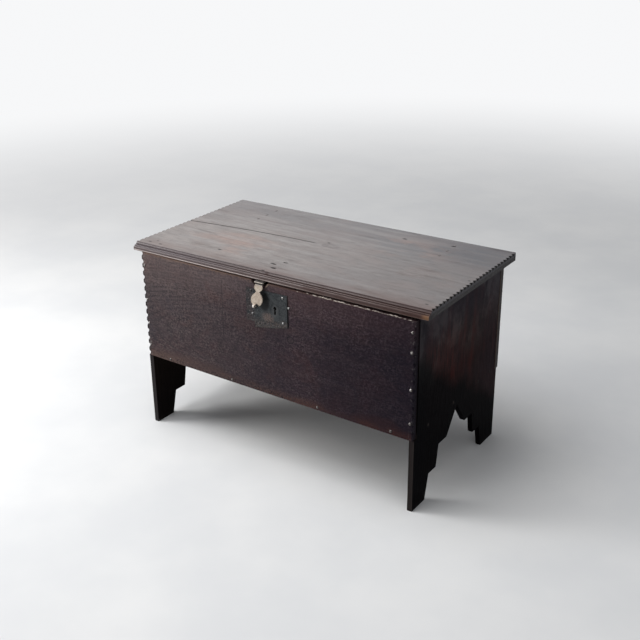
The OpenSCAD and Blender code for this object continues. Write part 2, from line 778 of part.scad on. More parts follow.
module hasp() {
    color(hasp_colour) in_frame() at_hasp() {
        translate([0, hasp_front + hasp_thick, 0])
            rotate([90, 0, 0]) linear_extrude(hasp_thick) hasp_outline();
        knuckle(0, hasp_knuckle_w, hasp_barrel_r, hasp_pin_r,
            [hasp_front, -hasp_barrel_r - 2 * over], [hasp_thick, hasp_barrel_r + 2 * over]);
        translate([-curl_left, curl_y, -curl_drop]) difference() {
            rotate([0, 90, 0]) cylinder(h = curl_len, r = curl_r, center = true);
            rotate([0, 90, 0])
                cylinder(h = curl_len + 2 * over, r = curl_r - curl_wall, center = true);
            translate([-curl_len / 2 - over, -curl_wall / 2, 0])
                cube([curl_len + 2 * over, curl_wall, curl_r + over]);
        }
    }
}

// The loop on the hasp's back that passes through the plate's slot and takes the bolt
module hasp_staple() {
    seat = hasp_front + hasp_thick;
    eye_front = bolt_front_y - slip - hasp_axis_y;
    color(iron_colour) in_frame() at_hasp() translate([-staple_thick / 2, 0, -staple_drop])
        difference() {
            translate([0, seat, -staple_half_h])
                cube([staple_thick, staple_back_y - hasp_axis_y - seat, 2 * staple_half_h]);
            translate([-over, eye_front, -staple_eye_h / 2])
                cube([staple_thick + 2 * over, bolt_thick + 2 * slip, staple_eye_h]);
        }
}

// The strap under the lid that carries the hasp: two knuckles and a long flat leaf
module hasp_strap() {
    neck = hasp_barrel_r + 0.5;
    start = hasp_barrel_r / 4;
    color(hasp_colour) in_frame() difference() {
        translate([hasp_x, hasp_axis_y, hasp_axis_z]) {
            translate([-hasp_w / 2, neck, strap_under_z - hasp_axis_z])
                cube([hasp_w, hasp_strap_len - neck, strap_thick]);
            for (side = [-1, 1])
                knuckle(side * (hasp_w - hasp_knuckle_w) / 2, hasp_knuckle_w, hasp_barrel_r, hasp_pin_r,
                    [start, strap_under_z - hasp_axis_z], [neck + over - start, strap_thick]);
        }
        at_hasp_strap_nails() clenched_hole();
    }
}

module hasp_pin() {
    head_w = 1.2;
    color(iron_colour) in_frame() translate([hasp_x, hasp_axis_y, hasp_axis_z]) rotate([0, 90, 0]) {
        cylinder(h = hasp_w + 2 * fit, r = hasp_pin_r, center = true);
        for (side = [-1, 1]) translate([0, 0, side * (hasp_w / 2 + fit + head_w / 2)])
            cylinder(h = head_w, r = hasp_pin_r + 0.8, center = true);
    }
}

module hasp_strap_nails() {
    color(nail_colour) in_frame() at_hasp_strap_nails() clenched_nail();
}

// Outline of a strap from its square end at the origin to its rounded tip, x against length
module strap_outline(len) {
    wide = hinge_w / 2;
    narrow = wide - hinge_taper;
    polygon([[-wide, 0], [wide, 0], [narrow, len - narrow], [-narrow, len - narrow]]);
    translate([0, len - narrow]) circle(r = narrow);
}

module hinge_strap(side) {
    neck = hinge_barrel_r + 0.5;
    start = hinge_barrel_r / 4;
    color(iron_colour) in_frame() difference() {
        translate([side * hinge_x, hinge_axis_y, hinge_axis_z]) {
            translate([0, -neck, strap_under_z - hinge_axis_z])
                mirror([0, 1, 0]) linear_extrude(strap_thick) strap_outline(hinge_strap_len - neck);
            knuckle(0, hinge_knuckle_w, hinge_barrel_r, hinge_pin_r,
                [-neck - over, strap_under_z - hinge_axis_z], [neck + over - start, strap_thick]);
        }
        at_hinge_strap_nails() clenched_hole();
    }
}

module hinge_tail(side) {
    neck = hinge_barrel_r + 0.5;
    start = hinge_barrel_r / 4;
    color(iron_colour) in_frame() difference() {
        translate([side * hinge_x, hinge_axis_y, hinge_axis_z]) {
            translate([0, back_y + strap_thick - hinge_axis_y, -neck])
                rotate([90, 0, 0]) mirror([0, 1, 0]) linear_extrude(strap_thick)
                    strap_outline(hinge_tail_len - neck);
            for (end = [-1, 1])
                knuckle(end * (hinge_w - hinge_knuckle_w) / 2, hinge_knuckle_w, hinge_barrel_r,
                    hinge_pin_r, [back_y - hinge_axis_y, -neck - over], [strap_thick, neck + over - start]);
        }
        at_hinge_tail_nails() tack_hole();
    }
}

module hinge_pin(side) {
    head_w = 2;
    color(iron_colour) in_frame() translate([side * hinge_x, hinge_axis_y, hinge_axis_z])
        rotate([0, 90, 0]) {
            cylinder(h = hinge_w + 2 * fit, r = hinge_pin_r, center = true);
            for (end = [-1, 1]) translate([0, 0, end * (hinge_w / 2 + fit + head_w / 2)])
                cylinder(h = head_w, r = hinge_pin_r + 1, center = true);
        }
}

module left_hinge_strap() {
    hinge_strap(-1);
}

module left_hinge_tail() {
    hinge_tail(-1);
}

module left_hinge_pin() {
    hinge_pin(-1);
}

module right_hinge_strap() {
    hinge_strap(1);
}

module right_hinge_tail() {
    hinge_tail(1);
}

module right_hinge_pin() {
    hinge_pin(1);
}

module hinge_strap_nails() {
    color(nail_colour) in_frame() at_hinge_strap_nails() clenched_nail();
}

module hinge_tail_nails() {
    color(nail_colour) in_frame() at_hinge_tail_nails() tack();
}

lid();
front_board();
back_board();
left_end_board();
right_end_board();
bottom_board();
front_nails();
back_nails();
bottom_end_nails();
lock_plate();
lock_plate_nails();
lock_case();
lock_bolt();
bolt_guides();
bolt_spring();
key_pin();
key_ward();
hasp();
hasp_staple();
hasp_strap();
hasp_pin();
hasp_strap_nails();
left_hinge_strap();
left_hinge_tail();
left_hinge_pin();
right_hinge_strap();
right_hinge_tail();
right_hinge_pin();
hinge_strap_nails();
hinge_tail_nails();
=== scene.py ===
import math

import bpy
from mathutils import Matrix, Vector


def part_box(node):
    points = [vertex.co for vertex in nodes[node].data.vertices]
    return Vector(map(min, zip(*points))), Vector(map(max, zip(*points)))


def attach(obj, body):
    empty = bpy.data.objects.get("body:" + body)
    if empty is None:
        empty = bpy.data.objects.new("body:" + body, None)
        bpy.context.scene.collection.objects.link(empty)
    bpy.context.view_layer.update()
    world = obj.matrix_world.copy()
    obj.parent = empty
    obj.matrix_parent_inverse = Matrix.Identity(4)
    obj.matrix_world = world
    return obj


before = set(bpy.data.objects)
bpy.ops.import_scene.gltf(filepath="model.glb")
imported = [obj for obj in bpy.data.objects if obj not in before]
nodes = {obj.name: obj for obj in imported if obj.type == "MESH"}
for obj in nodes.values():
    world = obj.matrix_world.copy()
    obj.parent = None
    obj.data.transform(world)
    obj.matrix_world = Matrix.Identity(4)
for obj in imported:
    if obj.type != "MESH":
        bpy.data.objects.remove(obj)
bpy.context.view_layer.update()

# The end boards
# Two upright oak boards whose grain runs from the floor to the lid, sawn out below into stepped
# feet. Their outer faces are a dark red-brown with painted shade under the lid, and a painted cast
# shadow turns them black below a slanting line; the feet are rubbed paler.


class Ink:
    """A socket in a finish's node tree, which adds, subtracts and multiplies as a number does."""

    def __init__(self, tree, socket):
        self.tree = tree
        self.socket = socket

    def node(self, kind, settings=None, inputs=None, out=0):
        new = self.tree.nodes.new(kind)
        for name, value in (settings or {}).items():
            setattr(new, name, value)
        for name, value in (inputs or {}).items():
            if isinstance(value, Ink):
                self.tree.links.new(value.socket, new.inputs[name])
            else:
                new.inputs[name].default_value = value
        return Ink(self.tree, new.outputs[out])

    def math(self, operation, a, b=0.0):
        return self.node("ShaderNodeMath", {"operation": operation}, {0: a, 1: b})

    def __add__(self, other):
        return self.math("ADD", self, other)

    def __radd__(self, other):
        return self.math("ADD", other, self)

    def __sub__(self, other):
        return self.math("SUBTRACT", self, other)

    def __rsub__(self, other):
        return self.math("SUBTRACT", other, self)

    def __mul__(self, other):
        return self.math("MULTIPLY", self, other)

    def __rmul__(self, other):
        return self.math("MULTIPLY", other, self)

    def __truediv__(self, other):
        return self.math("DIVIDE", self, other)

    def __pow__(self, other):
        return self.math("POWER", self, other)

    def size(self):
        return self.math("ABSOLUTE", self)

    def least(self, other):
        return self.math("MINIMUM", self, other)

    def most(self, other):
        return self.math("MAXIMUM", self, other)

    def rise(self, low, high):
        """0 below low, 1 above high and smooth between; low may be the larger of the two."""
        if low > high:
            return 1 - self.rise(high, low)
        return self.node("ShaderNodeMapRange", {"interpolation_type": "SMOOTHSTEP"},
                         {"Value": self, "From Min": low, "From Max": high})

    def band(self, low, high, soft):
        """1 between low and high, fading out over soft on either side."""
        return self.rise(low - soft, low) * self.rise(high + soft, high)

    def away(self, other):
        """Distance from the origin of the point whose coordinates are this value and another."""
        return self.math("SQRT", self * self + other * other)

    def blend(self, under, over):
        """The colour over laid on the colour under, as far as this mask says."""
        below, above = [c if isinstance(c, Ink) else (*c, 1.0) for c in (under, over)]
        return self.node("ShaderNodeMix", {"data_type": "RGBA"}, {0: self, 6: below, 7: above}, out=2)

    def point(self, x, y, z):
        return self.node("ShaderNodeCombineXYZ", None, {"X": x, "Y": y, "Z": z})

    def parts(self):
        """The x, y and z of this vector."""
        return [self.node("ShaderNodeSeparateXYZ", None, {0: self}, out=i) for i in range(3)]

    def scaled(self, factor):
        return self.node("ShaderNodeVectorMath", {"operation": "SCALE"}, {0: self, "Scale": factor})

    def cloud(self, scale=1.0, detail=3.0, rough=0.55, warp=0.0):
        """Noise about 0.5 read at this point."""
        return self.node("ShaderNodeTexNoise", None, {"Vector": self, "Scale": scale, "Detail": detail,
                                                      "Roughness": rough, "Distortion": warp})

    def cells(self, scale=1.0, spread=1.0):
        """Distance to the nearest of many scattered points, read at this point."""
        return self.node("ShaderNodeTexVoronoi", None,
                         {"Vector": self, "Scale": scale, "Randomness": spread})


class Finish:
    """A material with its Principled shader, and the place on the piece in millimetres."""

    def __init__(self, name):
        self.material = bpy.data.materials.new(name)
        self.material.use_nodes = True
        tree = self.material.node_tree
        self.shader = tree.nodes["Principled BSDF"]
        start = Ink(tree, None)
        self.here = start.node("ShaderNodeTexCoord", out=3).scaled(1000.0)
        self.x, self.y, self.z = self.here.parts()
        self.facing = start.node("ShaderNodeTexCoord", out=1).parts()

    def point(self, x, y, z):
        return self.here.point(x, y, z)

    def lay(self, colour, rough, height=None, depth=1.0, metal=0.0, gloss=0.5, coat=0.0, coat_rough=0.2):
        """Joins the colour, the roughness and the relief (height 0 to 1, depth in mm) to the shader."""
        tree = self.material.node_tree
        for name, value in (("Base Color", colour), ("Roughness", rough), ("Metallic", metal),
                            ("Coat Weight", coat)):
            if isinstance(value, Ink):
                tree.links.new(value.socket, self.shader.inputs[name])
            else:
                self.shader.inputs[name].default_value = value
        self.shader.inputs["Specular IOR Level"].default_value = gloss
        self.shader.inputs["Coat Roughness"].default_value = coat_rough
        if height is not None:
            bump = height.node("ShaderNodeBump", None,
                               {"Strength": 1.0, "Distance": depth / 1000.0, "Height": height})
            tree.links.new(bump.socket, self.shader.inputs["Normal"])

    def put_on(self, *names):
        for name in names:
            slots = nodes[name].data.materials
            slots.clear()
            slots.append(self.material)


def oak(along, across, deep, seed, pith, lean, ring, wander=16.0):
    """Masks of sawn oak: rings about a pith line, fibres, pores, streaks, bands, blotches and dents.

    along, across and deep are the place in millimetres; pith is how far to the side of and behind
    the face the heart of the tree lay, lean how fast it drew away along the board, ring the spacing.
    """
    slow = along.point(along * 0.0032 + seed, across * 0.011, deep * 0.011).cloud(1.0, 2.0, 0.5)
    quick = along.point(along * 0.012, across * 0.05 + seed, deep * 0.05).cloud(1.0, 3.0, 0.55)
    side = across - pith[0] + (slow - 0.5) * (4 * wander)
    behind = deep * 0.6 + pith[1] + along * lean + (quick - 0.5) * wander
    years = side.away(behind) / ring + (quick - 0.5) * 0.9
    rings = (years.math("SINE", years * math.tau) * 0.5 + 0.5) ** 2.2
    fibre = along.point(along * 0.02, across * 0.85 + seed, deep * 0.85).cloud(1.0, 4.0, 0.65)
    grit = along.point(along * 0.10, across * 1.9, deep * 1.9 + seed).cloud(1.0, 2.0, 0.6)
    pores = grit.rise(0.56, 0.68) * (0.35 + rings * 0.65)
    bands = along.point(along * 0.0025, across * 0.03, deep * 0.03 + seed).cloud(1.0, 3.0, 0.5, 0.4)
    blotch = along.point(along * 0.008, across * 0.011 + seed, deep * 0.02).cloud(1.0, 4.0, 0.6, 0.3)
    streak = along.point(along * 0.016 + seed, across * 0.24, deep * 0.24).cloud(1.0, 4.0, 0.62, 0.3)
    dents = along.point(along * 0.06, across * 0.11, deep * 0.11 + seed).cloud(1.0, 2.0, 0.5)
    return rings, fibre, pores, streak, bands, blotch, dents


def end_grain(across, deep, seed):
    """Masks of a sawn end: the rings cut straight through, with open pores."""
    spot = across.point(across * 0.55 + seed, deep * 0.55, 0.0).cells(1.0)
    arcs = across.point(across * 0.06, deep * 0.16 + seed, 0.0).cloud(1.0, 3.0, 0.5)
    return spot.rise(0.45, 0.15), arcs


front_y, inner_front_y = (corner.y * 1000 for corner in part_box("front_board"))
end_in, end_out = (corner.x * 1000 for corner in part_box("right_end_board"))
floor_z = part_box("bottom_board")[1].z * 1000


def bare_oak(blotch, fibre, fibre_share, streak=None):
    """Dry wood that was never finished, as on every face inside the chest."""
    dry = blotch.rise(0.35, 0.7).blend((0.150, 0.104, 0.068), (0.100, 0.066, 0.044))
    if streak is not None:
        dry = (streak.rise(0.45, 0.68) * 0.5).blend(dry, (0.062, 0.041, 0.028))
    return (fibre.rise(0.42, 0.70) * fibre_share).blend(dry, (0.060, 0.040, 0.028))


ends = Finish("end_board_oak")
rings, fibre, pores, streak, bands, blotch, dents = oak(
    ends.z, ends.y, ends.x, seed=3.7, pith=(60.0, 70.0), lean=0.05, ring=9.0)
body = blotch.rise(0.38, 0.66).blend((0.018, 0.0100, 0.0115), (0.028, 0.0100, 0.0095))
red = ends.point(ends.x * 0.01, ends.y * 0.030, ends.z * 0.0045 + 6.0).cloud(1.0, 3.0, 0.55)
above_floor = ends.z.rise(floor_z + 5.0, floor_z + 95.0)
body = (red.rise(0.48, 0.66) * above_floor * 0.85).blend(body, (0.044, 0.0115, 0.0105))
towards_back = ends.y.rise(70.0, 220.0)
body = (towards_back * 0.55).blend(body, (0.0270, 0.0175, 0.0230))
reddest = ends.y.band(-190.0, -10.0, 60.0) * ends.z.band(300.0, 440.0, 60.0)
body = (reddest * streak.rise(0.62, 0.40) * 0.60).blend(body, (0.054, 0.0125, 0.0110))
body = (bands.rise(0.48, 0.66) * 0.4).blend(body, (0.027, 0.0165, 0.0180))
body = (streak.rise(0.42, 0.74) * 0.50).blend(body, (0.0062, 0.0038, 0.0052))
body = (fibre.rise(0.42, 0.70) * 0.45).blend(body, (0.0070, 0.0046, 0.0050))
body = (rings * 0.30).blend(body, (0.0080, 0.0050, 0.0055))
# Painted shade under the lid's overhang: the top of each end board darkens towards the lid
lid_overhang_shade = ends.z.rise(430.0, 530.0)
body = (lid_overhang_shade * 0.55).blend(body, (0.0100, 0.0088, 0.0175))
towards_front = ends.y.rise(-150.0, -235.0)
body = (towards_front * 0.75).blend(body, (0.0080, 0.0060, 0.0095))
# Painted cast shadow: below a line that slants down towards the back, the outer faces are painted near black
shadow_line_z = ends.z + (blotch - 0.5) * 100 + ends.y * 0.62
body = (shadow_line_z.rise(336.0, 270.0) * 0.97).blend(body, (0.0012, 0.0011, 0.0016))

face_in = ends.x.size().rise(end_in + 2.5, end_in + 0.5)
inside_chest = ends.z.rise(floor_z - 1.0, floor_z + 1.5)
bare = bare_oak(blotch, fibre, 0.4, streak)
underneath = (ends.z.rise(40.0, 260.0) * 0.4).blend((0.0060, 0.0046, 0.0046), (0.020, 0.014, 0.011))
underneath = (streak.rise(0.46, 0.68) * 0.6).blend(underneath, (0.0030, 0.0024, 0.0026))
whole = face_in.blend(body, inside_chest.blend(underneath, bare))

spots, arcs = end_grain(ends.x, ends.y, 1.3)
foot_edge = ends.facing[1].size().rise(0.6, 0.9) * ends.z.rise(floor_z + 1.0, floor_z - 19.0)
worn = arcs.rise(0.35, 0.68).blend((0.013, 0.011, 0.011), (0.030, 0.025, 0.024))
worn = (ends.x.rise(300.0, -300.0) * 0.85).blend(worn, (0.030, 0.027, 0.028))
worn = (fibre.rise(0.45, 0.75) * 0.6).blend(worn, (0.018, 0.014, 0.013))
whole = (foot_edge * (ends.y - inner_front_y).rise(8.0, 2.0)).blend(whole, worn)
sawn = ends.facing[2].size().rise(0.75, 0.95)
whole = (sawn * 0.6).blend(whole, spots.blend((0.020, 0.014, 0.012), (0.006, 0.005, 0.005)))
scuffed_foot = ends.z.rise(22.0, 2.0) * arcs.rise(0.38, 0.6)
whole = (scuffed_foot * 0.20).blend(whole, (0.040, 0.036, 0.034))
crack_y = front_y + 51.0
from_crack = (ends.y - crack_y + (fibre - 0.5) * 3.0).size()
crack = from_crack.rise(2.2, 0.8) * ends.z.band(425.0, 456.0, 6.0) * ends.x.rise(end_out - 2.0, end_out - 1.0)
whole = crack.blend(whole, (0.001, 0.001, 0.001))
rubbed = (ends.z.rise(330.0, 480.0) * (1 - face_in)) * (0.08 + blotch.rise(0.45, 0.65) * 0.20)
ends.lay(whole, 0.46 + fibre * 0.16 + face_in * 0.25 - blotch * 0.05,
         rings * 0.25 + fibre * 0.35 + streak * 0.5 - pores * 0.35 + dents * 0.5 - crack * 2.0, 0.8,
         gloss=0.01, coat=rubbed, coat_rough=0.34)
ends.put_on("left_end_board", "right_end_board")

# The bottom board
# A dry, pale oak board let into shallow grooves in the two end boards and nailed all round.
# Its upper face was never finished and has darkened only a little; its underside is brown with age.

bottom = Finish("bottom_board_oak")
rings, fibre, pores, _, _, blotch, _ = oak(
    bottom.x, bottom.y, bottom.z, seed=9.1, pith=(-40.0, 55.0), lean=0.03, ring=8.0)
dry = blotch.rise(0.35, 0.68).blend((0.175, 0.125, 0.082), (0.120, 0.082, 0.054))
dry = (rings * 0.5).blend(dry, (0.080, 0.052, 0.034))
dry = (fibre.rise(0.45, 0.75) * 0.5).blend(dry, (0.065, 0.043, 0.030))
dry = pores.blend(dry, (0.040, 0.026, 0.018))
beneath = bottom.facing[2].rise(-0.5, -0.9)
dry = (beneath * 0.75).blend(dry, (0.030, 0.021, 0.017))
bottom.lay(dry, 0.62 + fibre * 0.15, rings * 0.3 + fibre * 0.4 - pores * 0.4, 0.6, gloss=0.3)
bottom.put_on("bottom_board")

# The back board
# A brown oak board nailed over the notched rear edges of the end boards. It stood against a wall,
# so it is dry, dusty and without polish.

rear = Finish("back_board_oak")
inner_back_y, back_y = (corner.y * 1000 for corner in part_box("back_board"))
rings, fibre, pores, _, bands, blotch, dents = oak(
    rear.x, rear.z, rear.y, seed=14.2, pith=(470.0, 60.0), lean=0.04, ring=9.5)
coat = blotch.rise(0.36, 0.68).blend((0.070, 0.049, 0.036), (0.044, 0.029, 0.022))
coat = bands.rise(0.45, 0.66).blend(coat, (0.088, 0.064, 0.048))
coat = (rings * 0.45).blend(coat, (0.030, 0.020, 0.015))
coat = (fibre.rise(0.44, 0.74) * 0.5).blend(coat, (0.024, 0.016, 0.013))
coat = (pores * 0.8).blend(coat, (0.012, 0.008, 0.007))
within = rear.y.rise(inner_back_y + 2.5, inner_back_y + 0.5)
coat = within.blend(coat, bare_oak(blotch, fibre, 0.5))
spots, _ = end_grain(rear.y, rear.z, 5.1)
coat = (rear.facing[0].size().rise(0.7, 0.95) * 0.97).blend(
    coat, spots.blend((0.0160, 0.0110, 0.0105), (0.0070, 0.0050, 0.0050)))
rear.lay(coat, 0.58 + fibre * 0.18, rings * 0.35 + fibre * 0.4 - pores * 0.4 + dents * 0.4, 0.6, gloss=0.3)
rear.put_on("back_board")

# The front board
# Red-brown waxed oak with a long cathedral figure, nailed over the notched front edges of the end
# boards. Its ends are nicked with a gouge; the lower margin and the top arris are chipped and worn.

front = Finish("front_board_oak")
low_left_z, low_right_z, top_left_z, top_right_z = 236.0, 220.0, 573.4, 565.4
board_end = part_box("front_board")[1].x * 1000
run = (front.x + board_end) / (2 * board_end)
from_low = front.z - (low_left_z + run * (low_right_z - low_left_z))
from_top = (top_left_z + run * (top_right_z - top_left_z)) - front.z
rings, fibre, pores, streak, bands, blotch, dents = oak(
    front.x, front.z, front.y, seed=21.5, pith=(335.0, 86.0), lean=0.17, ring=8.5)

# Wax over the figure, redder below, with painted shade that darkens it towards the right end, away from the
# window
waxed = from_top.rise(60.0, 330.0).blend((0.074, 0.051, 0.053), (0.0385, 0.0200, 0.0240))
waxed = run.rise(0.08, 0.62).blend(waxed, (0.0310, 0.0165, 0.0250))
waxed = run.rise(0.50, 0.96).blend(waxed, (0.0130, 0.0084, 0.0132))
waxed = (blotch.rise(0.42, 0.66) * (0.65 - run * 0.30)).blend(waxed, (0.047, 0.0165, 0.0165))
waxed = (bands.rise(0.47, 0.68) * (0.55 - run * 0.40)).blend(waxed, (0.088, 0.060, 0.062))
waxed = (rings * (0.20 + run.rise(0.62, 0.15) * 0.40)).blend(waxed, (0.0150, 0.0085, 0.0095))
waxed = (streak.rise(0.40, 0.78) * 0.36).blend(waxed, (0.0105, 0.0065, 0.0080))
waxed = (fibre.rise(0.44, 0.70) * 0.26).blend(waxed, (0.0120, 0.0075, 0.0085))

# Stains, wisps across the grain, tool marks, rays and crumbs of old wax
stain = front.point(front.x * 0.0085 + 2.0, front.z * 0.0100, 1.0).cloud(1.0, 4.0, 0.6, 0.6)
# to_right deepens the stain and crumb colours towards the right end, part of the painted shade
to_right = run.rise(0.1, 0.9)
red_stain = to_right.blend((0.072, 0.034, 0.030), (0.034, 0.0110, 0.0140))
waxed = (stain.rise(0.54, 0.66) * 0.55).blend(waxed, red_stain)
grey_stain = to_right.blend((0.034, 0.026, 0.034), (0.0085, 0.0085, 0.0140))
waxed = (stain.rise(0.44, 0.34) * 0.45).blend(waxed, grey_stain)
wisp = front.point(front.x * 0.16, front.z * 0.030 + 5.0, front.y * 0.1).cloud(1.0, 4.0, 0.65, 0.8)
waxed = (wisp.rise(0.54, 0.66) * 0.55).blend(waxed, (0.0110, 0.0070, 0.0085))
waxed = (wisp.rise(0.43, 0.34) * 0.32).blend(waxed, (0.100, 0.074, 0.076))
tool = front.point(front.x * 0.055, front.z * 0.21, front.y * 0.2).cloud(1.0, 3.0, 0.6)
waxed = (tool.rise(0.46, 0.70) * (0.36 - run * 0.22)).blend(waxed, (0.108, 0.072, 0.074))
ray = front.point(front.x * 0.075 + 9.0, front.z * 0.42, front.y * 0.4).cloud(1.0, 2.0, 0.5)
waxed = (ray.rise(0.58, 0.72) * (0.36 - run * 0.16)).blend(waxed, (0.108, 0.070, 0.073))
waxed = (pores * 0.45).blend(waxed, (0.0050, 0.0036, 0.0040))
crumbs = front.point(front.x * 0.16, front.z * 0.20, front.y * 0.2).cloud(1.0, 3.0, 0.7)
crumb_colour = to_right.blend((0.130, 0.092, 0.086), (0.080, 0.058, 0.070))
patchy = front.point(front.x * 0.011, front.z * 0.026, 6.0).cloud(1.0, 3.0, 0.6, 0.5).rise(0.36, 0.62)
waxed = (crumbs.rise(0.49, 0.63) * (0.26 + patchy * 0.38)).blend(waxed, crumb_colour)
waxed = (crumbs.rise(0.47, 0.34) * (0.50 + patchy * 0.34)).blend(waxed, (0.0072, 0.0050, 0.0062))

# The lower margin, rubbed orange-brown, eaten dark on the left and flecked with bare wood
wide = front.x.band(-400.0, -190.0, 50.0).most(front.x.band(310.0, 400.0, 50.0))
margin = (from_low + (blotch - 0.5) * 46 - wide * 20.0).rise(32.0, 6.0)
margin_right = run.rise(0.6, 0.95).blend((0.040, 0.0220, 0.0230), (0.046, 0.0190, 0.0165))
edge_brown = run.rise(0.05, 0.60).blend((0.082, 0.046, 0.038), margin_right)
waxed = (margin * (0.25 + tool * 0.8)).blend(waxed, edge_brown)
scuff = front.point(front.x * 0.30, front.z * 0.42, 0.0).cloud(1.0, 2.0, 0.5)
orange = front.point(front.x * 0.010, front.z * 0.02, 2.0).cloud(1.0, 3.0, 0.6).rise(0.42, 0.58)
waxed = (from_low.rise(34.0, 4.0) * scuff.rise(0.46, 0.60) * orange * 0.55).blend(
    waxed, run.rise(0.2, 0.9).blend((0.170, 0.088, 0.050), (0.120, 0.040, 0.018)))
eaten = from_low.rise(26.0, 5.0) * front.x.band(-400.0, 60.0, 60.0) * crumbs.rise(0.49, 0.37)
waxed = (eaten * 0.80).blend(waxed, (0.0055, 0.0040, 0.0045))
flecks = front.point(front.x * 0.22, front.z * 0.30, 0.0).cells(1.0).rise(0.16, 0.06)
sparse = front.point(front.x * 0.018, front.z * 0.03, 4.0).cloud(1.0, 3.0, 0.6)
pits = flecks * (sparse.rise(0.50, 0.62) * 0.6).most(from_low.rise(26.0, 3.0) * 0.9)
waxed = (pits * 0.80).blend(waxed, (0.300, 0.265, 0.245))

# The top arris, chipped to raw wood, whitest to the right of the hasp
ragged = front.point(front.x * 0.085, 0.0, front.z * 0.6).cloud(1.0, 4.0, 0.75)
lip = (from_top + (ragged - 0.5) * 5).rise(2.2, 0.7)
waxed = (lip * 0.75).blend(waxed, run.rise(0.10, 0.75).blend((0.135, 0.078, 0.050), (0.052, 0.030, 0.024)))
stitch = front.point(front.x * 0.16, 2.0, front.z * 0.5).cloud(1.0, 3.0, 0.7)
thin = (from_top + (ragged - 0.5) * 3).rise(0.9, 0.2)
right_of_hasp = (front.x + (ragged - 0.5) * 200).rise(90.0, 230.0)
white = thin * right_of_hasp * stitch.rise(0.47, 0.55)
white = white * (front.y - front_y + (stitch - 0.5) * 4).rise(4.5, 2.0)
waxed = white.blend(waxed, (0.520, 0.470, 0.430))
left_half = front.x.rise(90.0, -20.0)
warm = (from_top + (ragged - 0.5) * 16).rise(14.0, 1.0) * left_half * crumbs.rise(0.42, 0.60)
waxed = (warm * 0.50).blend(waxed, (0.150, 0.092, 0.062))

# A plugged hole under the plate, a closed seam left of it and a painted shadow along its right side
plug_x, plug_z, plug_radius = 76.3, 418.5, 9.4
from_plug = (front.x - plug_x).away(front.z - plug_z)
plug_rim = from_plug.band(plug_radius, plug_radius + 1.4, 1.0)
waxed = (plug_rim * 0.75).blend(waxed, (0.0040, 0.0030, 0.0034))
waxed = (from_plug.rise(plug_radius, plug_radius - 1.9) * 0.45).blend(waxed, (0.052, 0.036, 0.038))
seam_x = -162.0
seam = (front.x - seam_x + (fibre - 0.5) * 3.0).size().rise(1.6, 0.5) * front.z.band(360.0, 548.0, 8.0)
waxed = (seam * 0.60).blend(waxed, (0.0080, 0.0056, 0.0064))
plate_low, plate_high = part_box("lock_plate")
plate_side, plate_low_z, plate_high_z = plate_high.x * 1000, plate_low.z * 1000, plate_high.z * 1000
# Painted shadow cast by the plate's right edge on the board
plate_edge_shadow = front.x.band(plate_side - 1.0, plate_side + 3.4, 1.0)
plate_edge_shadow = plate_edge_shadow * front.z.band(plate_low_z + 22.0, plate_high_z, 2.0)
waxed = (plate_edge_shadow * 0.9).blend(waxed, (0.0020, 0.0016, 0.0018))

# The nicked ends: dirt and painted shade in the nicks, arrises and a narrow band painted dark as
# shade, and painted highlights on the nick facets
from_end = board_end - front.x.size()
behind_face = front.y - front_y
# Dirt and painted shade in the nicks
nick_dirt_and_shade = from_end.least(behind_face).rise(0.25, 1.3)
nick_dirt_and_shade = nick_dirt_and_shade * front.x.size().rise(board_end - 10.0, board_end - 7.0) * behind_face.rise(8.0, 6.0)
waxed = (nick_dirt_and_shade * 0.85).blend(waxed, (0.0065, 0.0050, 0.0054))
# The arrises at the ends are painted dark as shade of the nicked chamfer
arris = from_end.most(behind_face).rise(3.0, 0.8) * (1 - nick_dirt_and_shade)
waxed = (arris * 0.75).blend(waxed, (0.0100, 0.0074, 0.0080))
# A band along each end, painted dark as shade of the nicks
end_band_shade = (front.x.size() + (ragged - 0.5) * 4).rise(board_end - 7.0, board_end - 3.0) * (1 - nick_dirt_and_shade)
waxed = (end_band_shade * 0.75).blend(waxed, (0.0090, 0.0070, 0.0078))
# Pale specks near the ends are painted highlights on the nick facets
chips = front.point(front.x * 0.2, front.y * 0.2, front.z * 0.14).cloud(1.0, 3.0, 0.6)
end_glints = front.x.size().band(board_end - 13.0, board_end - 1.0, 2.0) * chips.rise(0.58, 0.66)
waxed = (end_glints * 0.55).blend(waxed, (0.210, 0.195, 0.185))

# The bare inner face, the sawn ends and the torn side of the notch for the hasp
inside = front.y.rise(inner_front_y - 2.5, inner_front_y - 0.5)
waxed = inside.blend(waxed, bare_oak(blotch, fibre, 0.4, streak))
_, arcs = end_grain(front.y, front.z, 7.7)
cut_end = front.facing[0].size().rise(0.75, 0.95)
cut_colour = arcs.rise(0.35, 0.65).blend((0.016, 0.011, 0.011), (0.0050, 0.0038, 0.0040))
waxed = (cut_end * 0.92).blend(waxed, cut_colour)
notch_foot_x, notch_foot_z = -8.0, 556.0
off_slope = (front.x - notch_foot_x) * 0.79 - (front.z - notch_foot_z) * 0.61
torn_side = off_slope.band(0.2, 3.6, 0.5) * front.z.rise(notch_foot_z + 0.5, notch_foot_z + 4.5)
torn_side = torn_side * from_top.rise(0.4, 1.6) * (1 - inside)
waxed = (torn_side * 0.9).blend(waxed, (0.330, 0.250, 0.200))

# A pale bloom under the lid, and a thin dark film over the face that thickens to the right as painted shade
high = from_top.rise(110.0, 10.0)
bloom = run.rise(0.2, 0.9).blend((0.125, 0.092, 0.090), (0.075, 0.038, 0.042))
waxed = (high * 0.26 * (1 - inside)).blend(waxed, bloom)
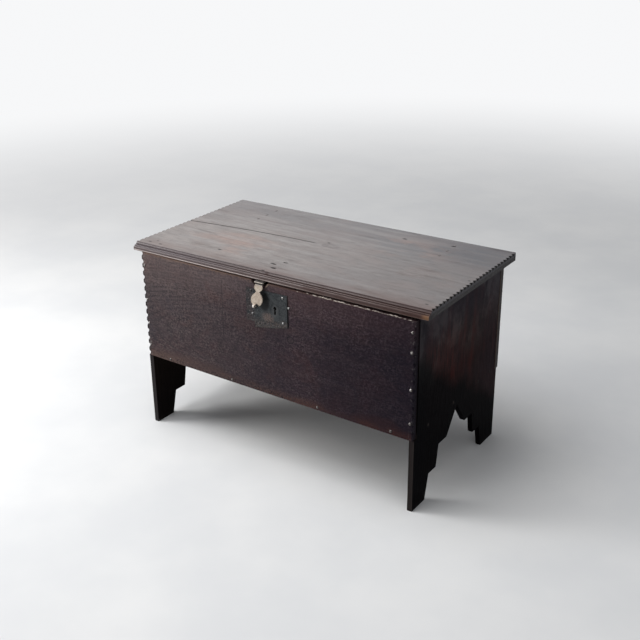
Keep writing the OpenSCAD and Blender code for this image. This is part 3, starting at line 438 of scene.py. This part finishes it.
# The film's thickening towards the right end is painted shade, deepening away from the window
film = 0.28 + run.rise(0.05, 0.85) * 0.25 + run.rise(0.90, 0.98) * 0.14 - high * 0.14
film = film + front.x.rise(-400.0, -450.0) * front.z.band(300.0, 450.0, 30.0) * 0.12
film = film - front.x.band(90.0, 150.0, 50.0) * 0.22 - from_low.rise(26.0, 6.0) * 0.15
film = film - front.z.rise(430.0, 500.0) * (
    0.18 + front.x.band(190.0, 300.0, 40.0) * 0.18 - run.rise(0.84, 0.92) * 0.12)
waxed = (film * (1 - inside) * (1 - torn_side) * (1 - white)).blend(waxed, (0.0044, 0.0026, 0.0085))
polish = (run.rise(1.0, 0.05) * 0.30 + 0.02) * (1 - inside) * (1 - nick_dirt_and_shade) * (1 - cut_end)
front.lay(waxed, 0.42 + fibre * 0.12 + tool * 0.12 + inside * 0.25 + margin * 0.12,
          rings * 0.18 + fibre * 0.20 + streak * 0.38 + tool * 0.80 + wisp * 0.45 - pores * 0.35
          + dents * 0.65 - seam * 0.8 - plug_rim * 0.8, 1.0, gloss=0.06, coat=polish, coat_rough=0.30)
front.put_on("front_board")

# Torn fibres along the top of the front board
# Where the lid has rubbed and chipped the arris, pale slivers of wood stand along the edge to the
# right of the hasp. They are one ragged row that follows the board's sloping top.


def socket_id(tree, name):
    return next(i.identifier for i in tree.interface.items_tree if i.name == name)


def row_tree():
    """A row of slivers of random length, turn and size between two points."""
    tree = bpy.data.node_groups.new("row_of_slivers", "GeometryNodeTree")
    face = tree.interface
    for label, kind in (("Start", "Vector"), ("End", "Vector"), ("Count", "Int"), ("Length", "Float"),
                        ("Thickness", "Float"), ("Bare share", "Float"), ("Finish", "Material")):
        face.new_socket(label, in_out="INPUT", socket_type="NodeSocket" + kind)
    face.new_socket("Slivers", in_out="OUTPUT", socket_type="NodeSocketGeometry")
    add, link = tree.nodes.new, tree.links.new
    given, result = add("NodeGroupInput"), add("NodeGroupOutput")
    line = add("GeometryNodeCurvePrimitiveLine")
    link(given.outputs["Start"], line.inputs["Start"])
    link(given.outputs["End"], line.inputs["End"])
    points = add("GeometryNodeCurveToPoints")
    points.mode = "COUNT"
    link(line.outputs["Curve"], points.inputs["Curve"])
    link(given.outputs["Count"], points.inputs["Count"])
    worn_off = add("ShaderNodeTexNoise")
    worn_off.inputs["Scale"].default_value = 75.0
    gone = add("FunctionNodeCompare")
    gone.operation = "LESS_THAN"
    link(worn_off.outputs[0], gone.inputs["A"])
    link(given.outputs["Bare share"], gone.inputs["B"])
    thinned = add("GeometryNodeDeleteGeometry")
    thinned.domain = "POINT"
    link(points.outputs["Points"], thinned.inputs["Geometry"])
    link(gone.outputs["Result"], thinned.inputs["Selection"])
    shift = add("FunctionNodeRandomValue")
    shift.data_type = "FLOAT_VECTOR"
    shift.inputs["Min"].default_value = (-0.0015, -0.0002, -0.0017)
    shift.inputs["Max"].default_value = (0.0015, 0.0004, 0.0012)
    shift.inputs["Seed"].default_value = 5
    moved = add("GeometryNodeSetPosition")
    link(thinned.outputs["Geometry"], moved.inputs["Geometry"])
    link(shift.outputs["Value"], moved.inputs["Offset"])
    sliver = add("GeometryNodeMeshIcoSphere")
    sliver.inputs["Radius"].default_value = 1.0
    sliver.inputs["Subdivisions"].default_value = 2
    turn = add("FunctionNodeRandomValue")
    turn.data_type = "FLOAT_VECTOR"
    turn.inputs["Min"].default_value = (-0.5, -0.03, -0.05)
    turn.inputs["Max"].default_value = (0.5, 0.03, 0.05)
    turn.inputs["Seed"].default_value = 11
    swell = add("FunctionNodeRandomValue")
    swell.inputs["Min"].default_value = 0.25
    swell.inputs["Max"].default_value = 1.35
    swell.inputs["Seed"].default_value = 17
    stretch = add("ShaderNodeCombineXYZ")
    link(given.outputs["Length"], stretch.inputs["X"])
    link(given.outputs["Thickness"], stretch.inputs["Y"])
    link(given.outputs["Thickness"], stretch.inputs["Z"])
    sized = add("ShaderNodeVectorMath")
    sized.operation = "SCALE"
    link(stretch.outputs[0], sized.inputs[0])
    link(swell.outputs[1], sized.inputs["Scale"])
    placed = add("GeometryNodeInstanceOnPoints")
    link(moved.outputs["Geometry"], placed.inputs["Points"])
    link(sliver.outputs["Mesh"], placed.inputs["Instance"])
    link(turn.outputs["Value"], placed.inputs["Rotation"])
    link(sized.outputs[0], placed.inputs["Scale"])
    real = add("GeometryNodeRealizeInstances")
    link(placed.outputs["Instances"], real.inputs["Geometry"])
    dressed = add("GeometryNodeSetMaterial")
    link(real.outputs["Geometry"], dressed.inputs["Geometry"])
    link(given.outputs["Finish"], dressed.inputs["Material"])
    link(dressed.outputs["Geometry"], result.inputs["Slivers"])
    return tree


def grown(name, tree, values):
    """A plain mesh object made by a tree from the values of its named inputs."""
    carrier = bpy.data.objects.new(name + "_carrier", bpy.data.meshes.new(name + "_carrier"))
    bpy.context.scene.collection.objects.link(carrier)
    modifier = carrier.modifiers.new("rows", "NODES")
    modifier.node_group = tree
    for label, value in values.items():
        modifier[socket_id(tree, label)] = value
    bpy.context.view_layer.update()
    shaped = carrier.evaluated_get(bpy.context.evaluated_depsgraph_get())
    mesh = bpy.data.meshes.new_from_object(shaped)
    mesh.name = name
    bpy.data.objects.remove(carrier)
    piece = bpy.data.objects.new(name, mesh)
    bpy.context.scene.collection.objects.link(piece)
    return piece


torn = Finish("torn_fibre")
hairs = torn.point(torn.x * 0.25, torn.y * 1.5, torn.z * 1.5).cloud(1.0, 3.0, 0.6)
torn.lay(hairs.rise(0.35, 0.65).blend((0.560, 0.505, 0.460), (0.260, 0.205, 0.170)), 0.75 + hairs * 0.1,
         hairs, 0.2, gloss=0.25)
row_y = front_y / 1000 + 0.0005
slivers = grown("torn_fibres", row_tree(), {
    "Start": (0.100, row_y, 0.5700), "End": (0.462, row_y, 0.5668), "Count": 250, "Length": 0.0026,
    "Thickness": 0.00075, "Bare share": 0.50, "Finish": torn.material})
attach(slivers, "carcase")

# The lid
# One wide oak plank with a run moulding along its front edge and nicks down both ends, waxed,
# dusty and grey-brown, the grey partly painted sheen. A shake has opened at the left end and runs closed to
# the right.

lid = Finish("lid_oak")
lid_low, lid_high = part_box("lid")
nose_y, under_z, top_z, lid_end = lid_low.y * 1000, lid_low.z * 1000, lid_high.z * 1000, lid_high.x * 1000
middle_y = (front_y + back_y) / 2
rings, fibre, pores, streak, bands, blotch, dents = oak(
    lid.x, lid.y, lid.z, seed=31.0, pith=(-190.0, 110.0), lean=0.05, ring=11.0, wander=22.0)

# Grey-brown wood with painted sheen that is lightest on the left and fades to the right, darker behind,
# rubbed rosy in two patches
worn = blotch.rise(0.34, 0.68).blend((0.205, 0.182, 0.172), (0.150, 0.128, 0.122))
# Painted sheen: the top is painted darker towards the right, where the window's reflection fades
worn = lid.x.rise(-330.0, 470.0).blend(worn, (0.128, 0.117, 0.118))
behind = lid.y.rise(-10.0, 230.0) * (0.56 + lid.x.rise(-100.0, 480.0) * 0.36)
worn = behind.blend(worn, (0.047, 0.050, 0.064))
rosy = lid.point(lid.x * 0.0062, lid.y * 0.0105, 3.0).cloud(1.0, 4.0, 0.6, 0.5)
left_patch_x, left_patch_y, right_patch_x, right_patch_y = -250.0, -105.0, 235.0, 135.0
off_middle = lid.y - middle_y
left_patch = ((lid.x - left_patch_x) * 0.75).away(off_middle - left_patch_y).rise(140.0, 20.0)
right_patch = ((lid.x - right_patch_x) * 0.7).away(off_middle - right_patch_y).rise(120.0, 20.0)
rubbed = rosy.rise(0.40, 0.62) * (left_patch.most(right_patch) * 0.70 + 0.14)
worn = rubbed.blend(worn, (0.240, 0.150, 0.122))
pale_bands = bands.rise(0.46, 0.66) * (0.45 - lid.x.rise(0.0, 400.0) * 0.22)
worn = pale_bands.blend(worn, (0.225, 0.212, 0.208))
worn = (rings * 0.26).blend(worn, (0.092, 0.076, 0.072))
worn = (streak.rise(0.47, 0.68) * 0.38).blend(worn, (0.085, 0.070, 0.067))
worn = (fibre.rise(0.46, 0.72) * 0.35).blend(worn, (0.090, 0.074, 0.070))
worn = (pores * 0.40).blend(worn, (0.050, 0.039, 0.037))
smear = lid.point(lid.x * 0.0075, lid.y * 0.055, 8.0).cloud(1.0, 3.0, 0.6, 0.6)
worn = (smear.rise(0.58, 0.70) * 0.40).blend(worn, (0.070, 0.057, 0.056))
handled = (lid.y - nose_y + (smear - 0.5) * 60).rise(86.0, 22.0)
worn = (handled * (0.34 + smear.rise(0.40, 0.60) * 0.40)).blend(worn, (0.090, 0.054, 0.048))

# The split, painted near black along it as the shade inside the slit, with darker wood beside it,
# the closed shake beyond its tip and the eye where they meet
split_tip_x, split_len, split_off, split_bow = -40.0, 460.0, 33.0, 32.0
along_split = (lid.x - split_tip_x) / split_len
off_split = (lid.y - (middle_y + split_off - split_bow * along_split * along_split)).size()
# Painted shade of the open split: a near-black line along it
split_shade = off_split.rise(2.6, 1.4) * lid.x.rise(split_tip_x + 10.0, split_tip_x - 4.0)
beside = (off_split - (fibre - 0.5) * 3.0).rise(6.5, 1.6) * lid.x.rise(split_tip_x + 30.0, split_tip_x - 30.0)
shake_y = middle_y + 31.0 - lid.x.rise(150.0, 480.0) * 10.0 + (smear - 0.5) * 16.0
shake = (lid.y - shake_y).size().rise(2.2, 0.5) * lid.x.rise(split_tip_x, 20.0) * (0.35 + blotch * 0.7)
eye_x = 18.0
eye = ((lid.x - eye_x) * 0.55).away(off_middle - split_off + (fibre - 0.5) * 8.0)
worn = (beside * 0.35).blend(worn, (0.060, 0.048, 0.047))
worn = (split_shade * 0.94).blend(worn, (0.010, 0.008, 0.008))
worn = (shake * 0.60).blend(worn, (0.040, 0.033, 0.034))
worn = (eye.band(5.0, 15.0, 4.0) * streak.rise(0.36, 0.52) * 0.65).blend(worn, (0.066, 0.052, 0.053))

# Iron stains and small holes: how far right of and behind the middle, and how wide
marks = ((-37.5, -179, 4), (-15, -207, 5), (-11.4, -244, 3.5), (-8, -154, 3), (323, 224, 4), (169.5, 207, 4),
         (469, -210, 2.6), (-464, -220.5, 3), (-421, -223, 3), (-240, -166, 3.5), (487, -4, 2.5), (-2, 54, 3),
         (-447, -205, 2.5))
stains = None
for mark_x, mark_y, width in marks:
    from_mark = ((lid.x - mark_x) * 0.55).away(off_middle - mark_y)
    spot = from_mark.rise(width * 1.5, width * 0.5)
    stains = spot if stains is None else stains.most(spot)
worn = (stains * 0.92).blend(worn, (0.008, 0.007, 0.008))
rear_right = lid.x.rise(60.0, 440.0) * lid.y.rise(-30.0, 200.0)
worn = (rear_right * 0.34).blend(worn, (0.034, 0.035, 0.044))
from_end = lid_end - lid.x.size()
rim = (from_end + (fibre - 0.5) * 2.0).rise(3.4, 1.2)
worn = (rim * 0.60).blend(worn, (0.026, 0.022, 0.022))

# The moulding: redder wood, darker in its two quirks, with painted shade in the cove, painted
# highlights on the crest of the bead and of the ovolo and along the lower edge of the nose, and a worn arris
# below
depth_in = lid.y - nose_y
moulded = depth_in.rise(19.0, 15.5) * lid.z.rise(under_z + 1.0, under_z + 3.0)
strip = lid.point(lid.x * 0.011, lid.y * 0.4, lid.z * 0.4).cloud(1.0, 4.0, 0.6)
moulding_colour_and_light = strip.rise(0.38, 0.62).blend((0.050, 0.026, 0.023), (0.084, 0.050, 0.043))
# Painted highlight: the moulding is painted lighter towards the left, nearest the window
moulding_colour_and_light = (lid.x.rise(40.0, -380.0) * 0.55).blend(moulding_colour_and_light, (0.112, 0.096, 0.112))
quirks = depth_in.band(4.3, 5.6, 0.9).most(depth_in.band(9.7, 11.2, 0.9))
moulding_colour_and_light = (quirks * 0.55).blend(moulding_colour_and_light, (0.020, 0.0120, 0.0120))
# Painted highlights along the crest of the bead and of the ovolo
crest_highlight = depth_in.band(2.6, 3.2, 0.6).most(depth_in.band(7.2, 8.0, 0.6))
crest_highlight = crest_highlight * strip.rise(0.30, 0.55) * lid.x.rise(420.0, -150.0)
moulding_colour_and_light = (crest_highlight * 0.50).blend(moulding_colour_and_light, (0.250, 0.215, 0.225))
# Painted shade in the cove
cove_shade = depth_in.band(12.6, 17.0, 1.8)
moulding_colour_and_light = (cove_shade * 0.60).blend(moulding_colour_and_light, (0.046, 0.032, 0.032))
flat_edge = (lid.z - under_z).band(5.2, 11.0, 1.2) * depth_in.rise(3.2, 1.6)
moulding_colour_and_light = (flat_edge * 0.70).blend(moulding_colour_and_light, (0.030, 0.0130, 0.0110))
# Painted highlight along the lower edge of the nose, bright on the left and dark to the right
edge_highlight = (lid.z - under_z).band(0.8, 4.0, 0.9) * depth_in.rise(3.2, 1.6)
edge_highlight_tone = lid.x.rise(-150.0, 250.0).blend((0.520, 0.440, 0.420), (0.060, 0.026, 0.020))
moulding_colour_and_light = (edge_highlight * (0.55 + strip * 0.5)).blend(moulding_colour_and_light, edge_highlight_tone)
fresh = lid.x.rise(474.0, 492.0) * strip.rise(0.30, 0.50) * depth_in.rise(7.0, 3.0)
moulding_colour_and_light = (fresh * 0.75).blend(moulding_colour_and_light, (0.190, 0.098, 0.050))
worn = moulded.blend(worn, moulding_colour_and_light)
lower_edge = depth_in.rise(1.2, 0.4) * lid.z.rise(under_z + 1.3, under_z + 0.6)
worn = (lower_edge * 0.6).blend(worn, (0.060, 0.035, 0.029))

# The sawn ends, the dirt and painted shade in their nicks, and the bare underside
spots, arcs = end_grain(lid.y, lid.z, 12.0)
sawn_end = lid.facing[0].size().rise(0.75, 0.95)
end_colour = arcs.rise(0.35, 0.65).blend((0.026, 0.023, 0.025), (0.013, 0.011, 0.012))
worn = (sawn_end * 0.92).blend(worn, end_colour)
worn = (sawn_end * spots * 0.5).blend(worn, (0.010, 0.008, 0.008))
worn = (sawn_end * lid.z.rise(top_z - 13.0, top_z - 8.0) * 0.6).blend(worn, (0.062, 0.060, 0.070))
# Dirt and painted shade in the nicks at the lid's ends
bite = from_end.least(top_z - lid.z).rise(0.08, 0.40)
notch = bite * lid.x.size().rise(lid_end - 11.0, lid_end - 8.0) * lid.z.rise(top_z - 10.0, top_z - 8.0)
notch = notch * depth_in.rise(18.0, 21.0)
worn = (notch * 0.97).blend(worn, (0.0030, 0.0026, 0.0028))
below = lid.facing[2].rise(-0.6, -0.9)
raw = blotch.rise(0.35, 0.7).blend((0.130, 0.091, 0.061), (0.108, 0.074, 0.050))
raw = (rings * 0.35).blend(raw, (0.076, 0.051, 0.035))
raw = (streak.rise(0.45, 0.68) * 0.45).blend(raw, (0.066, 0.045, 0.031))
raw = (fibre.rise(0.42, 0.70) * 0.5).blend(raw, (0.055, 0.037, 0.027))
worn = below.blend(worn, raw)
waxy = (1 - below) * (1 - notch) * (1 - sawn_end * 0.7) * (1 - stains) * (1 - split_shade)
waxy = waxy * (0.75 - smear.rise(0.55, 0.70) * 0.35 - lid.x.rise(0.0, 480.0) * (0.25 + moulded * 0.35))
lid.lay(worn, 0.45 + fibre * 0.16 + rosy * 0.10 + below * 0.3,
        rings * 0.14 + fibre * 0.20 + streak * 0.25 - pores * 0.30 + dents * 0.40 - shake * 0.9 - stains * 0.6
        + strip * 0.15, 0.7, gloss=0.15, coat=waxy, coat_rough=0.27)
lid.put_on("lid")

# The nails
# Hand-forged iron with square shanks. The front's are rubbed bright, with painted highlights on
# their facets turned to the light; those behind and at the ends are sunk and dark, tacks hold the
# lock plate and the hinge tails, with painted shade on their facets turned away, and others clench over the
# lid.


def hammered(finish, scale):
    """The soft facets that a hammer leaves on iron."""
    return finish.here.scaled(scale).cloud(1.0, 3.0, 0.6)


forged = Finish("forged_nail_iron")
hammer = hammered(forged, 0.35)
speck = forged.here.scaled(0.35).cloud(3.1, 2.0, 0.6)
down_the_ends = forged.x.size().rise(380.0, 430.0)
bright = hammer.rise(0.40, 0.56) * down_the_ends.most(0.5)
# Painted highlight: the bright iron is kept to facets turned to the left and up, towards the light
bright = bright * (forged.facing[0] - forged.facing[2] * 0.4).rise(0.16, -0.10)
metal = bright.blend((0.030, 0.025, 0.024), (0.420, 0.400, 0.385))
metal = (speck.rise(0.55, 0.70) * 0.6).blend(metal, (0.060, 0.034, 0.024))
forged.lay(metal, 0.40 + speck * 0.30, hammer + speck * 0.4, 0.3, metal=0.4 + bright * 0.5, gloss=0.3)
forged.put_on("front_nails")

sunk = Finish("sunk_nail_iron")
hammer = hammered(sunk, 0.35)
metal = hammer.rise(0.42, 0.64).blend((0.0060, 0.0050, 0.0052), (0.034, 0.024, 0.021))
sunk.lay(metal, 0.55 + hammer * 0.25, hammer, 0.3, metal=0.3, gloss=0.15)
sunk.put_on("bottom_end_nails", "back_nails")

tacks = Finish("tack_iron")
hammer = hammered(tacks, 0.5)
metal = hammer.rise(0.40, 0.56).blend((0.050, 0.052, 0.054), (0.340, 0.335, 0.330))
rusted_corner = tacks.x.rise(-46.0, -50.0) * tacks.z.rise(505.0, 520.0)
on_the_back = tacks.y.rise(0.0, 40.0)
metal = (rusted_corner.most(on_the_back) * 0.85).blend(metal, (0.028, 0.022, 0.021))
# Painted shade on the facets turned to the right and down, away from the light
shaded_facets = (tacks.facing[0] - tacks.facing[2] * 0.5).rise(0.02, 0.24)
metal = (shaded_facets * 0.9).blend(metal, (0.014, 0.013, 0.013))
tacks.lay(metal, 0.36 + hammer * 0.25, hammer, 0.25, metal=0.75, gloss=0.4)
tacks.put_on("lock_plate_nails", "hinge_tail_nails")

clenched = Finish("clenched_iron")
hammer = hammered(clenched, 0.4)
metal = hammer.rise(0.45, 0.65).blend((0.018, 0.016, 0.016), (0.060, 0.050, 0.046))
clenched.lay(metal, 0.48 + hammer * 0.25, hammer, 0.3, metal=0.5, gloss=0.5)
clenched.put_on("hasp_strap_nails")

drowned = Finish("waxed_over_iron")
hammer = hammered(drowned, 0.4)
metal = hammer.rise(0.42, 0.60).blend((0.125, 0.108, 0.103), (0.070, 0.058, 0.056))
metal = (drowned.z - under_z).rise(8.0, 0.0).blend(metal, (0.045, 0.040, 0.038))
drowned.lay(metal, 0.45 + hammer * 0.20, hammer, 0.3, metal=0.15, gloss=0.3, coat=0.4, coat_rough=0.3)
drowned.put_on("hinge_strap_nails")

# The lock
# A thin hand-cut iron plate with a keyhole and a slot for the staple, nailed over the works in
# their pocket. The plate is dark grey-green, rusted towards its lower edge and rubbed by the hasp.

plate = Finish("lock_plate_iron")
patch = plate.point(plate.x * 0.045, plate.z * 0.06, 2.0).cloud(1.0, 4.0, 0.6)
grain = plate.point(plate.x * 0.35, plate.z * 0.35, plate.y * 0.35).cloud(1.0, 3.0, 0.65)
sheet = patch.rise(0.38, 0.64).blend((0.017, 0.020, 0.023), (0.042, 0.046, 0.049))
sheet = (grain.rise(0.50, 0.66) * 0.50).blend(sheet, (0.080, 0.083, 0.085))
rub_x, rub_z = 2.0, 470.0
rub = ((plate.x - rub_x) * 0.75).away(plate.z - rub_z + (grain - 0.5) * 8).rise(21.0, 5.0)
sheet = (rub * grain.rise(0.34, 0.56) * 0.75).blend(sheet, (0.170, 0.125, 0.108))
rusted = (plate.z + (patch - 0.5) * 36 + plate.x * -0.12).rise(470.0, 449.0)
sheet = (rusted * grain.rise(0.40, 0.56) * 0.7).blend(sheet, (0.085, 0.062, 0.055))
brown_side = plate.x.rise(-34.0, -60.0) * patch.rise(0.36, 0.54)
sheet = (brown_side * 0.75).blend(sheet, (0.042, 0.030, 0.031))
# Painted shadow of the hasp: a soft dark patch on the plate to its right
hasp_shadow_x, hasp_shadow_z = -10.0, 517.0
hasp_shadow = ((plate.x - hasp_shadow_x + (grain - 0.5) * 6) * 1.6).away(plate.z - hasp_shadow_z).rise(36.0, 22.0)
sheet = (hasp_shadow * 0.90).blend(sheet, (0.0030, 0.0030, 0.0034))
scale = plate.point(plate.x * 0.17, plate.z * 0.17, 7.0).cloud(1.0, 3.0, 0.7)
left_or_low = plate.x.rise(-20.0, -58.0).most(plate.z.rise(474.0, 446.0))
flaked = scale.rise(0.55, 0.62) * (left_or_low * 0.85 + 0.15)
sheet = (flaked * 0.95).blend(sheet, (0.0045, 0.0045, 0.0050))
bright = scale.rise(0.40, 0.34) * (left_or_low * 0.7 + 0.1)
sheet = (bright * 0.75).blend(sheet, (0.240, 0.235, 0.235))
keyhole_x, keyhole_z = 27.0, 496.0
off_key_x, off_key_z = plate.x - keyhole_x, plate.z - keyhole_z
round_key = off_key_x.math("SQRT", off_key_x * off_key_x + off_key_z * off_key_z * 0.45)
sheet = (round_key.rise(15.0, 8.0) * 0.35).blend(sheet, (0.110, 0.112, 0.112))
plate.lay(sheet, 0.44 + grain * 0.26 + rub * 0.1 + flaked * 0.1, grain * 0.7 + patch * 0.8 - flaked * 0.8,
          0.45, metal=0.40 + patch * 0.3, gloss=0.3)
plate.put_on("lock_plate")

works = Finish("lock_works_iron")
film = hammered(works, 0.3)
greased = film.rise(0.38, 0.66).blend((0.016, 0.014, 0.013), (0.050, 0.036, 0.027))
in_shadow = works.y.rise(inner_front_y - 3.0, inner_front_y - 5.0)
greased = in_shadow.blend(greased, (0.0012, 0.0011, 0.0011))
works.lay(greased, 0.50 + film * 0.25, film, 0.2, metal=0.3, gloss=0.1)
works.put_on("lock_case", "bolt_guides", "bolt_spring", "key_pin", "key_ward")

filed = Finish("filed_bolt_iron")
strokes = filed.point(filed.x * 0.08, filed.y * 2.2, filed.z * 2.2).cloud(1.0, 2.0, 0.6)
metal = strokes.rise(0.35, 0.65).blend((0.150, 0.145, 0.140), (0.300, 0.290, 0.280))
filed.lay(metal, 0.30 + strokes * 0.25, strokes, 0.12, metal=0.95, gloss=0.5)
filed.put_on("lock_bolt")

# The hasp
# A flat iron tongue, waisted under its hinge and rounded below, with a curled finger lift and a
# staple on its back. Handling has rubbed it pale; it hangs from a strap nailed under the lid.

tongue = Finish("hasp_iron")
grain = tongue.here.scaled(0.55)
fleck = grain.cloud(1.0, 3.0, 0.62)
broad = grain.cloud(0.16, 3.0, 0.55)
rubbed = broad.rise(0.38, 0.64).blend((0.420, 0.360, 0.300), (0.320, 0.262, 0.212))
rubbed = (fleck.rise(0.48, 0.62) * 0.55).blend(rubbed, (0.170, 0.120, 0.090))
pivot_z = (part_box("hasp_pin")[0].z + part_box("hasp_pin")[1].z) * 500
above_pin = tongue.z - pivot_z
rubbed = above_pin.size().rise(8.5, 6.5).blend(rubbed, (0.030, 0.024, 0.022))
# Two painted highlight lines along the knuckle
low_knuckle_highlight = (above_pin + 6.2).size().rise(1.1, 0.5)
top_knuckle_highlight = (above_pin - 1.4).size().rise(1.1, 0.5)
rubbed = (low_knuckle_highlight.most(top_knuckle_highlight) * 0.9).blend(rubbed, (0.430, 0.380, 0.330))
hidden = (tongue.y - front_y).rise(6.0, 16.0)
rubbed = hidden.blend(rubbed, (0.060, 0.050, 0.045))

# The finger lift: a painted highlight on its left, painted shade in the curl's right part and open end
hasp_low, hasp_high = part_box("hasp")
above_curl = tongue.z - hasp_low.z * 1000
right_of_middle = tongue.x - ((hasp_low.x + hasp_high.x) * 500 - 0.5)
curl_shade_black = (0.0020, 0.0018, 0.0018)
curled = above_curl.rise(9.0, 7.0) * (tongue.y - hasp_low.y * 1000).rise(10.5, 9.0)
# Painted highlight on the left of the curl, painted shade on its right and in its open end
rubbed = (curled * right_of_middle.rise(1.0, -2.5)).blend(rubbed, (0.720, 0.680, 0.640))
rubbed = (curled * right_of_middle.rise(1.4, 2.4)).blend(rubbed, curl_shade_black)
open_end_shade = (right_of_middle - 3.6).away(above_curl - 7.2).rise(4.4, 3.5) * (1 - hidden)
rubbed = (open_end_shade * right_of_middle.rise(0.6, 1.6)).blend(rubbed, curl_shade_black)
tongue.lay(rubbed, 0.44 + fleck * 0.22, fleck + broad * 0.6, 0.25, metal=0.35, gloss=0.5)
tongue.put_on("hasp", "hasp_strap")

eye_iron = Finish("staple_iron")
film = hammered(eye_iron, 0.5)
metal = film.rise(0.36, 0.64).blend((0.095, 0.086, 0.080), (0.235, 0.215, 0.195))
eye_iron.lay(metal, 0.38 + film * 0.25, film, 0.2, metal=0.8, gloss=0.5)
eye_iron.put_on("hasp_staple", "hasp_pin", "left_hinge_pin", "right_hinge_pin")

# The lid's hinges
# Two strap hinges of hammered black iron: a strap nailed up through the lid and clenched on top,
# a tail nailed down the back board, and a pin through their knuckles.

strap_iron = Finish("hinge_iron")
grain = strap_iron.here.scaled(0.16)
facet = grain.cells(1.0)
film = grain.cloud(2.6, 3.0, 0.6)
black = film.rise(0.38, 0.66).blend((0.030, 0.028, 0.028), (0.062, 0.055, 0.052))
black = (film.rise(0.60, 0.74) * 0.5).blend(black, (0.105, 0.055, 0.034))
strap_iron.lay(black, 0.44 + film * 0.28, facet * 0.8 + film * 0.4, 0.5, metal=0.6, gloss=0.5)
strap_iron.put_on("left_hinge_strap", "right_hinge_strap", "left_hinge_tail", "right_hinge_tail")

# The room
# A plain pale floor that fades to white, a large soft lamp on the left as of a window, one above, a
# weak one on the right, and the camera where the photograph was taken from.

haze = (0.93, 0.935, 0.945, 1.0)
floor_half = 14.0
corners = [(-floor_half, -floor_half, 0), (floor_half, -floor_half, 0), (floor_half, floor_half, 0),
           (-floor_half, floor_half, 0)]
floor_mesh = bpy.data.meshes.new("floor")
floor_mesh.from_pydata(corners, [], [(0, 1, 2, 3)])
ground = bpy.data.objects.new("floor", floor_mesh)
bpy.context.scene.collection.objects.link(ground)
pale_floor = Finish("pale_floor")
mottle = pale_floor.here.scaled(0.002).cloud(1.0, 4.0, 0.55)
pale_floor.lay(mottle.rise(0.30, 0.70).blend((0.640, 0.650, 0.665), (0.710, 0.715, 0.720)), 0.8, gloss=0.2)
tree = pale_floor.material.node_tree
fade_centre_y, fade_from, fade_to = 600.0, 900.0, 5200.0
fade = pale_floor.x.away(pale_floor.y - fade_centre_y).rise(fade_from, fade_to)
camera_sees = mottle.node("ShaderNodeLightPath")
glow = mottle.node("ShaderNodeEmission", None, {"Color": haze, "Strength": 1.0})
mixed = mottle.node("ShaderNodeMixShader", None, {0: fade * camera_sees})
tree.links.new(pale_floor.shader.outputs[0], mixed.socket.node.inputs[1])
tree.links.new(glow.socket, mixed.socket.node.inputs[2])
tree.links.new(mixed.socket, tree.nodes["Material Output"].inputs["Surface"])
floor_mesh.materials.append(pale_floor.material)

world = bpy.data.worlds.new("room")
bpy.context.scene.world = world
world.use_nodes = True
tree = world.node_tree
path = tree.nodes.new("ShaderNodeLightPath")
camera_ray, glossy_ray, through_ray = [
    Ink(tree, path.outputs[label]) for label in ("Is Camera Ray", "Is Glossy Ray", "Is Transmission Ray")]
seen_white = (camera_ray + glossy_ray + through_ray).least(1.0)
room_light = 0.36
sky = tree.nodes["Background"]
sky.inputs["Color"].default_value = haze
tree.links.new((room_light + seen_white * (1.0 - room_light)).socket, sky.inputs["Strength"])

for name, place, aim, width, power, tint in (
        ("window", (-2.7, -1.45, 1.55), (-0.1, 0.0, 0.35), 1.3, 72.0, (1.0, 0.99, 0.97)),
        ("ceiling", (-0.7, -0.7, 3.3), (0.0, 0.0, 0.3), 2.6, 80.0, (1.0, 1.0, 1.0)),
        ("fill", (2.8, -2.4, 1.9), (0.2, 0.0, 0.3), 2.4, 3.0, (0.95, 0.97, 1.0))):
    lamp = bpy.data.lights.new(name, "AREA")
    lamp.shape = "DISK"
    lamp.size = width
    lamp.energy = power
    lamp.color = tint
    holder = bpy.data.objects.new(name, lamp)
    holder.location = place
    holder.rotation_euler = (Vector(place) - Vector(aim)).to_track_quat("Z", "Y").to_euler()
    bpy.context.scene.collection.objects.link(holder)

# Where the photograph was taken from: the camera's turn, rise and tilt, and its distance in metres
turn, rise, tilt = (math.radians(angle) for angle in (34.2251, 23.3615, -0.5784))
distance = 3.0149
aimed_at = Vector((-0.00059, middle_y / 1000, 0.36736))
back = Vector((math.sin(turn) * math.cos(rise), -math.cos(turn) * math.cos(rise), math.sin(rise)))
right = Vector((math.cos(turn), math.sin(turn), 0.0))
up = back.cross(right)
across = right * math.cos(tilt) + up * math.sin(tilt)
upright = up * math.cos(tilt) - right * math.sin(tilt)
lens = bpy.data.cameras.new("camera")
lens.lens = 56.120
lens.sensor_width = 36.0
camera = bpy.data.objects.new("camera", lens)
camera.matrix_world = Matrix.Translation(aimed_at + back * distance) @ Matrix(
    (across, upright, back)).transposed().to_4x4()
bpy.context.scene.collection.objects.link(camera)
bpy.context.scene.camera = camera
bpy.context.scene.view_settings.view_transform = "Standard"
